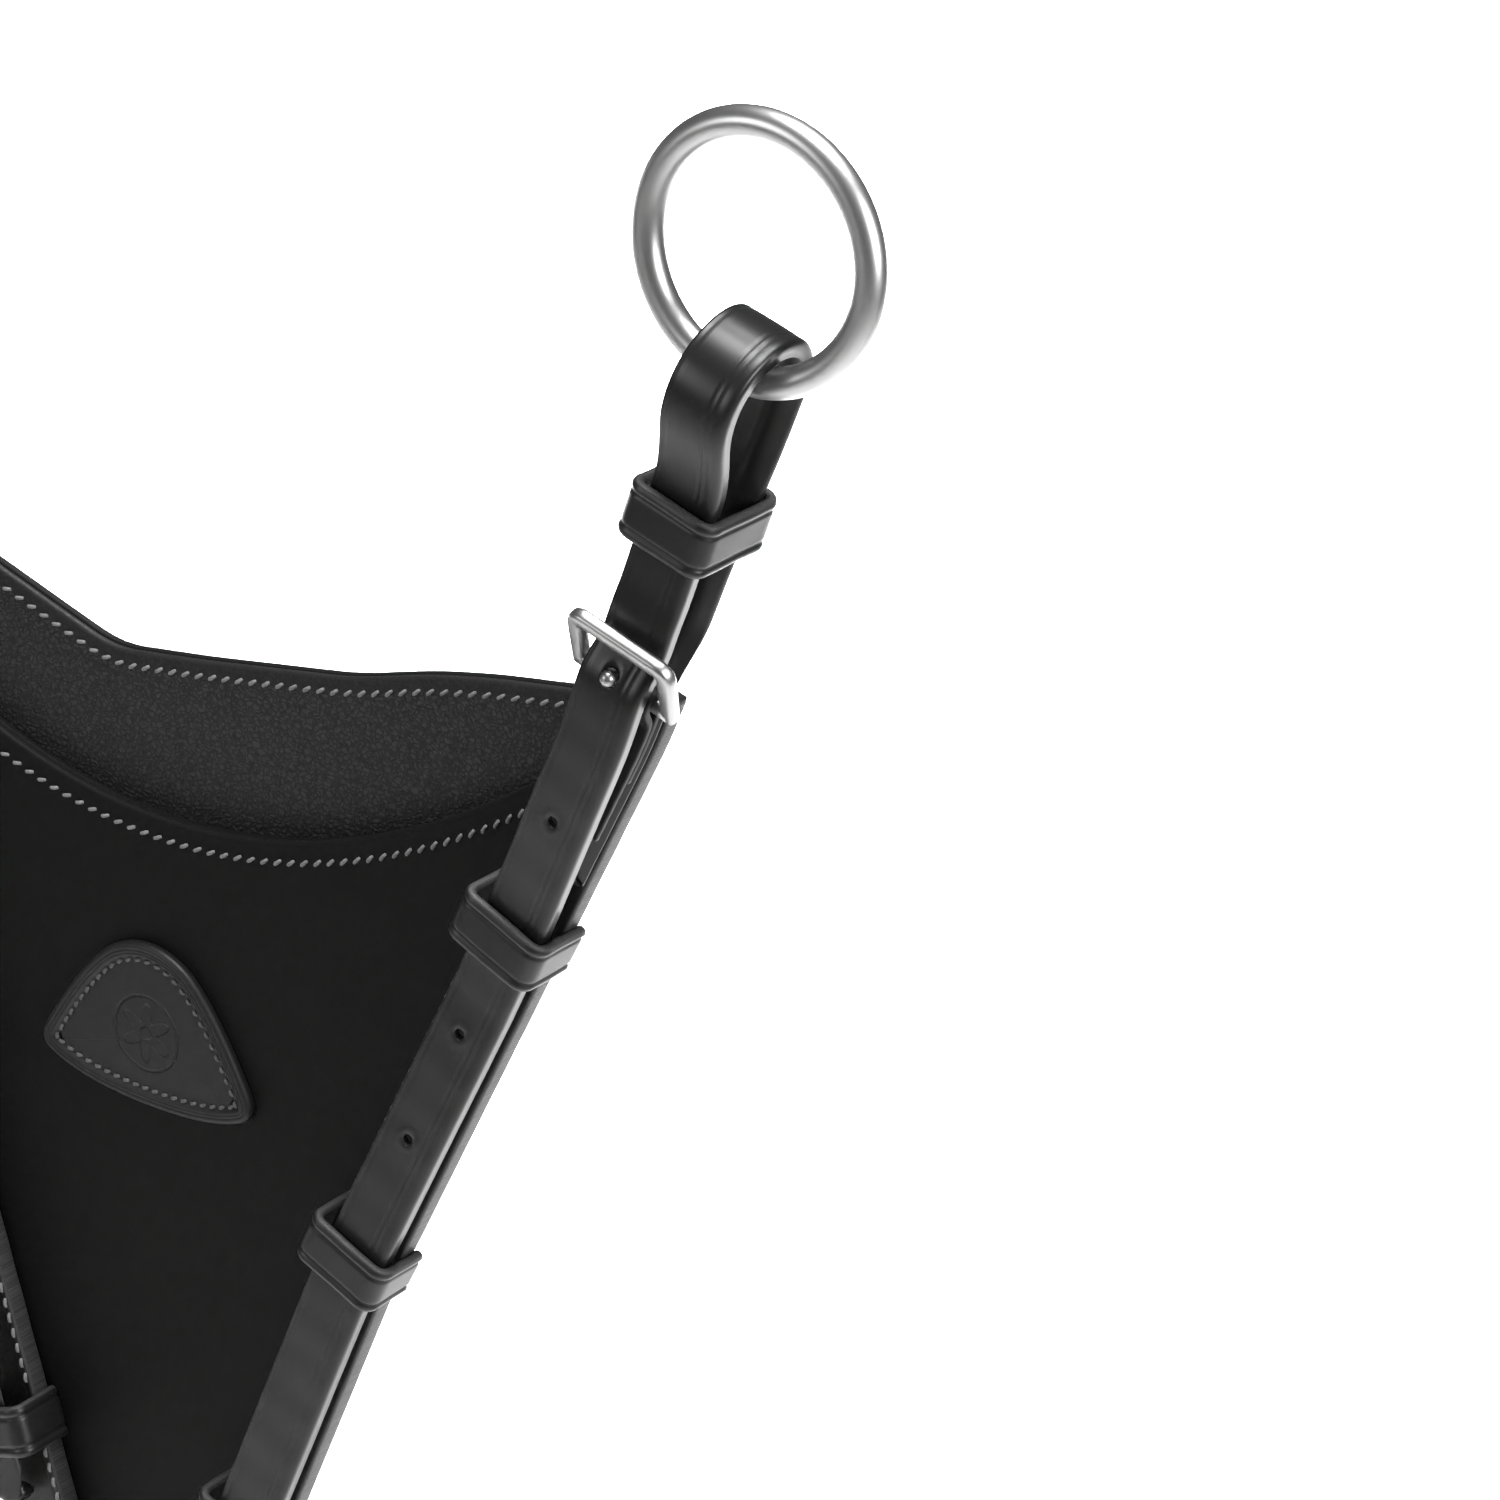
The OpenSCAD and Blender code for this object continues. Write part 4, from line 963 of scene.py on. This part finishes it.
# The two curved rows of stitches, along the front panel's edge and along the lining's
front_row, lining_row = 3.8, 3.0
for name, node, edge, drop, depth in (("front_thread", "front_stitching", front_edge, front_row, 0.0),
                                      ("lining_thread", "lining_stitching", lining_edge, lining_row, -core_back)):
    places, x = [], -110.0
    while x < 110:
        slope = (edge(x + 0.5) - edge(x - 0.5))
        a = atan2(slope, 1)
        z = edge(x) - drop / cos(a)
        if abs(x) < side_at(z) - bib_tuck - strap_w / 2 - 1.5:
            places.append(((x, deck - depth, z), slanted((cos(a), sin(a)), 27), 2.35))
        x += stitch_pitch * cos(a)
    stitch_row(name, node, places)


# ---------------------------------------------------------------------------------------------------------------------
# The badge. A blunt shield of leather sewn to the bib, with a bevelled rim, a fine double line and a plain rosette
# pressed in the middle.
badge_half, badge_z, badge_t = 24.4, 274.0, 1.8


def bezier(a, b, c, n):
    a, b, c = map(np.array, (a, b, c))
    return [a * (1 - t) ** 2 + 2 * b * t * (1 - t) + c * t * t for t in np.linspace(0, 1, n)]


half_line = bezier((0, -6.2), (badge_half * 0.62, -6.2), (badge_half - 2, -2.4), 24)
half_line += bezier((badge_half - 1.6, -2.2), (badge_half + 0.4, -1), (badge_half - 0.6, 1.8), 10)
half_line += bezier((badge_half - 1, 2.8), (badge_half * 0.62, 18), (badge_half * 0.34, 23), 30)
half_line += bezier((badge_half * 0.3, 23.5), (badge_half * 0.16, 25.4), (0, 25.4), 12)
outline = np.array(half_line + [np.array((-p[0], p[1])) for p in half_line[-2:0:-1]])
run = np.concatenate([[0], np.cumsum(np.hypot(*np.diff(np.vstack([outline, outline[:1]]), axis=0).T))])
ring_even = np.linspace(0, run[-1], 241)[:-1]
closed_outline = np.vstack([outline, outline[:1]])
outline = np.stack([np.interp(ring_even, run, closed_outline[:, i]) for i in range(2)], 1)
for _ in range(6):
    outline = (np.roll(outline, 1, 0) + 2 * outline + np.roll(outline, -1, 0)) / 4
tangent = np.roll(outline, -1, 0) - np.roll(outline, 1, 0)
inward = np.stack([-tangent[:, 1], tangent[:, 0]], 1) / np.linalg.norm(tangent, axis=1)[:, None]
badge_profile = [(0.0, 0.0), (0.0, 0.9), (0.12, 1.35), (0.4, 1.65), (0.8, 1.78), (1.15, 1.8), (1.3, 1.66), (1.45, 1.8),
                 (1.75, 1.8), (1.9, 1.66), (2.05, 1.78), (2.4, 1.7), (2.7, 1.42), (2.95, 1.3), (3.4, 1.27), (4.0, 1.3),
                 (4.6, 1.3)]
points, marks, faces = [], [], []
for inset, height in badge_profile:
    for p, q in zip(outline, inward):
        x, z = p + q * inset
        points.append((x, deck - height, badge_z + z))
        marks.append((x, z, inset))
centre = outline.mean(0)
inner = outline + inward * 4.6
for share in np.linspace(0.9, 0.06, 14):
    for p in inner:
        x, z = centre + (p - centre) * share
        points.append((x, deck - 1.3 - 0.12 * (1 - share), badge_z + z))
        marks.append((x, z, 4.6 + 10 * (1 - share)))
n = len(outline)
levels = len(points) // n
for r in range(levels - 1):
    faces += [(r * n + c, r * n + (c + 1) % n, (r + 1) * n + (c + 1) % n, (r + 1) * n + c) for c in range(n)]
faces += [tuple((levels - 1) * n + c for c in range(n)), tuple(reversed(range(n)))]
badge_finish = Finish("badge_leather")
badge_finish.shader.inputs["Specular IOR Level"].default_value = 0.42
lay = badge_finish.place(name="lay")
badge_x, badge_up, badge_in = badge_finish.parts(lay)
badge_grain = badge_finish.noise(badge_finish.place(), scale=2.4, detail=4.0, rough=0.6)
across, above = badge_x, badge_up - 8.0
petal = across.math("ARCTAN2", above)
petal_reach = (petal * 6).math("COSINE") * 1.7 + 4.1
from_centre = (across * across + above * above).math("SQRT")
rosette = (1 - (from_centre - petal_reach).rise(-0.25, 0.25)) * from_centre.rise(1.0, 1.4)
circle_line = 1 - abs(from_centre - 7.2).rise(0.12, 0.4)
badge_finish.feed("Base Color", badge_finish.blend(badge_grain, 0.010, 0.018))
badge_finish.feed("Roughness", badge_grain * 0.1 + 0.42)
badge_finish.bump(badge_grain, 0.3, 0.06)
badge_finish.bump(1 - (rosette.most(circle_line)), 0.8, 0.35)
fit(make_mesh("badge_leather", points, faces, badge_finish, marks), "badge", "bib_and_forks", "badge_leather")

badge_thread = Finish("badge_thread", Roughness=0.6)
badge_thread.feed("Base Color", badge_thread.blend(badge_thread.noise(badge_thread.place(), scale=4.0), 0.05, 0.2))
row = outline + inward * 3.3
run = np.concatenate([[0], np.cumsum(np.hypot(*np.diff(np.vstack([row, row[:1]]), axis=0).T))])
count = int(run[-1] / 2.2)
points, faces = [], []
for k in range(count):
    at = run[-1] * k / count
    x = np.interp(at, run, np.append(row[:, 0], row[0, 0]))
    z = np.interp(at, run, np.append(row[:, 1], row[0, 1]))
    x2 = np.interp(at + 0.5, run, np.append(row[:, 0], row[0, 0]))
    z2 = np.interp(at + 0.5, run, np.append(row[:, 1], row[0, 1]))
    d = hypot(x2 - x, z2 - z)
    if d > 0.1:
        add_stitch(points, faces, np.array((x, deck - 1.28, badge_z + z)), slanted(((x2 - x) / d, (z2 - z) / d), 12),
                   (0, -1, 0), 1.6)
badge_stitches = make_mesh("badge_thread", points, faces, badge_thread)
fit(badge_stitches, "badge_stitching", "bib_and_forks", "thread")


# ---------------------------------------------------------------------------------------------------------------------
# Chest strap. A strap folded round the snap's eye; its back leaf butts under the forks' feet and its front leaf, with
# a rounded end, is sewn over them.
chest_w, chest_top, eye_d, eye_z, leaf_front = 20.0, 160.0, 4.0, 55.0, base_t + strap_t
leaf_in = eye_d / 2 + 0.25
fold_r, fold_rise = leaf_in + strap_t / 2, 14.0


def chest_point(z, depth):
    return np.array([0.0, deck - depth, z])


front_mid, front_fold = leaf_front - strap_t / 2, deck + fold_r
back_mid, back_fold = 0.1 + (base_t - 0.2) / 2, deck - fold_r
chest_line = [(z, front_mid + (front_fold - front_mid) * ease((eye_z + fold_rise - z) / fold_rise))
              for z in np.arange(chest_top, eye_z, -0.5)]
chest_line += [(eye_z - fold_r * sin(a), deck + fold_r * cos(a)) for a in np.radians(np.arange(2, 179, 5.0))]
chest_line += [(z, back_mid + (back_fold - back_mid) * ease((eye_z + fold_rise - z) / fold_rise))
               for z in np.arange(eye_z, chest_join - 0.1, 0.5)]
dense = np.array([chest_point(z, d) for z, d in chest_line])
run = np.concatenate([[0], np.cumsum(np.linalg.norm(np.diff(dense, axis=0), axis=1))])
even = np.linspace(0, run[-1], int(run[-1] / 0.9))
line = np.stack([np.interp(even, run, dense[:, i]) for i in range(3)], 1)
chest_frames = []
for i, p in enumerate(line):
    way = line[min(i + 1, len(line) - 1)] - line[max(i - 1, 0)]
    way /= np.linalg.norm(way)
    chest_frames.append((p, np.array([-1.0, 0, 0]), np.cross((-1.0, 0, 0), way), even[i]))


def chest_section(i, s):
    width = chest_w
    if s < 4.3:
        width = 2 * sqrt(max(14 ** 2 - (14 - s) ** 2, 0.6))
    return strap_section(min(width, chest_w), strap_t, ((-7.9, 0.18, 0.3), (7.9, 0.18, 0.3)) if width > 19 else (),
                         crown=0.1, edge=0.8)


points, faces, marks = sweep("", chest_frames, chest_section, base_leather)
chest = make_mesh("chest_strap_leather", points, faces, base_leather, marks)
fit(chest, "chest_strap", "bib_and_forks", "strap_leather")
chest_row, chest_row_low = chest_w / 2 - 2.2, eye_z + fold_rise + 3
places = [((side * chest_row, deck - leaf_front, z), slanted((0, 1), 9 * side), 2.3)
          for side in (-1, 1) for z in np.arange(chest_row_low, chest_top - 14, stitch_pitch)]
stitch_row("chest_thread", "chest_stitching", places)


# ---------------------------------------------------------------------------------------------------------------------
# Bolt snap. A cast swivel snap: an eye turns in the body's collar, and a sprung bolt closes the hook. The parts are
# as turned and cast, with their sharp edges broken.
snap_steel = steel_finish("snap_steel", 0.26, 0.6)
spring_steel = steel_finish("spring_steel", 0.3, 0.4)
for node in ("swivel_eye", "snap_body", "snap_bolt", "bolt_thumb_knob", "bolt_spring"):
    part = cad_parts[node]
    part.data.materials.clear()
    part.data.materials.append((spring_steel if node == "bolt_spring" else snap_steel).material)
    if node != "bolt_spring":
        broken = part.modifiers.new("broken_edges", "BEVEL")
        broken.width, broken.segments, broken.limit_method, broken.angle_limit = 0.35 * MM, 3, "ANGLE", radians(40)
        part.modifiers.new("even_shading", "WEIGHTED_NORMAL")
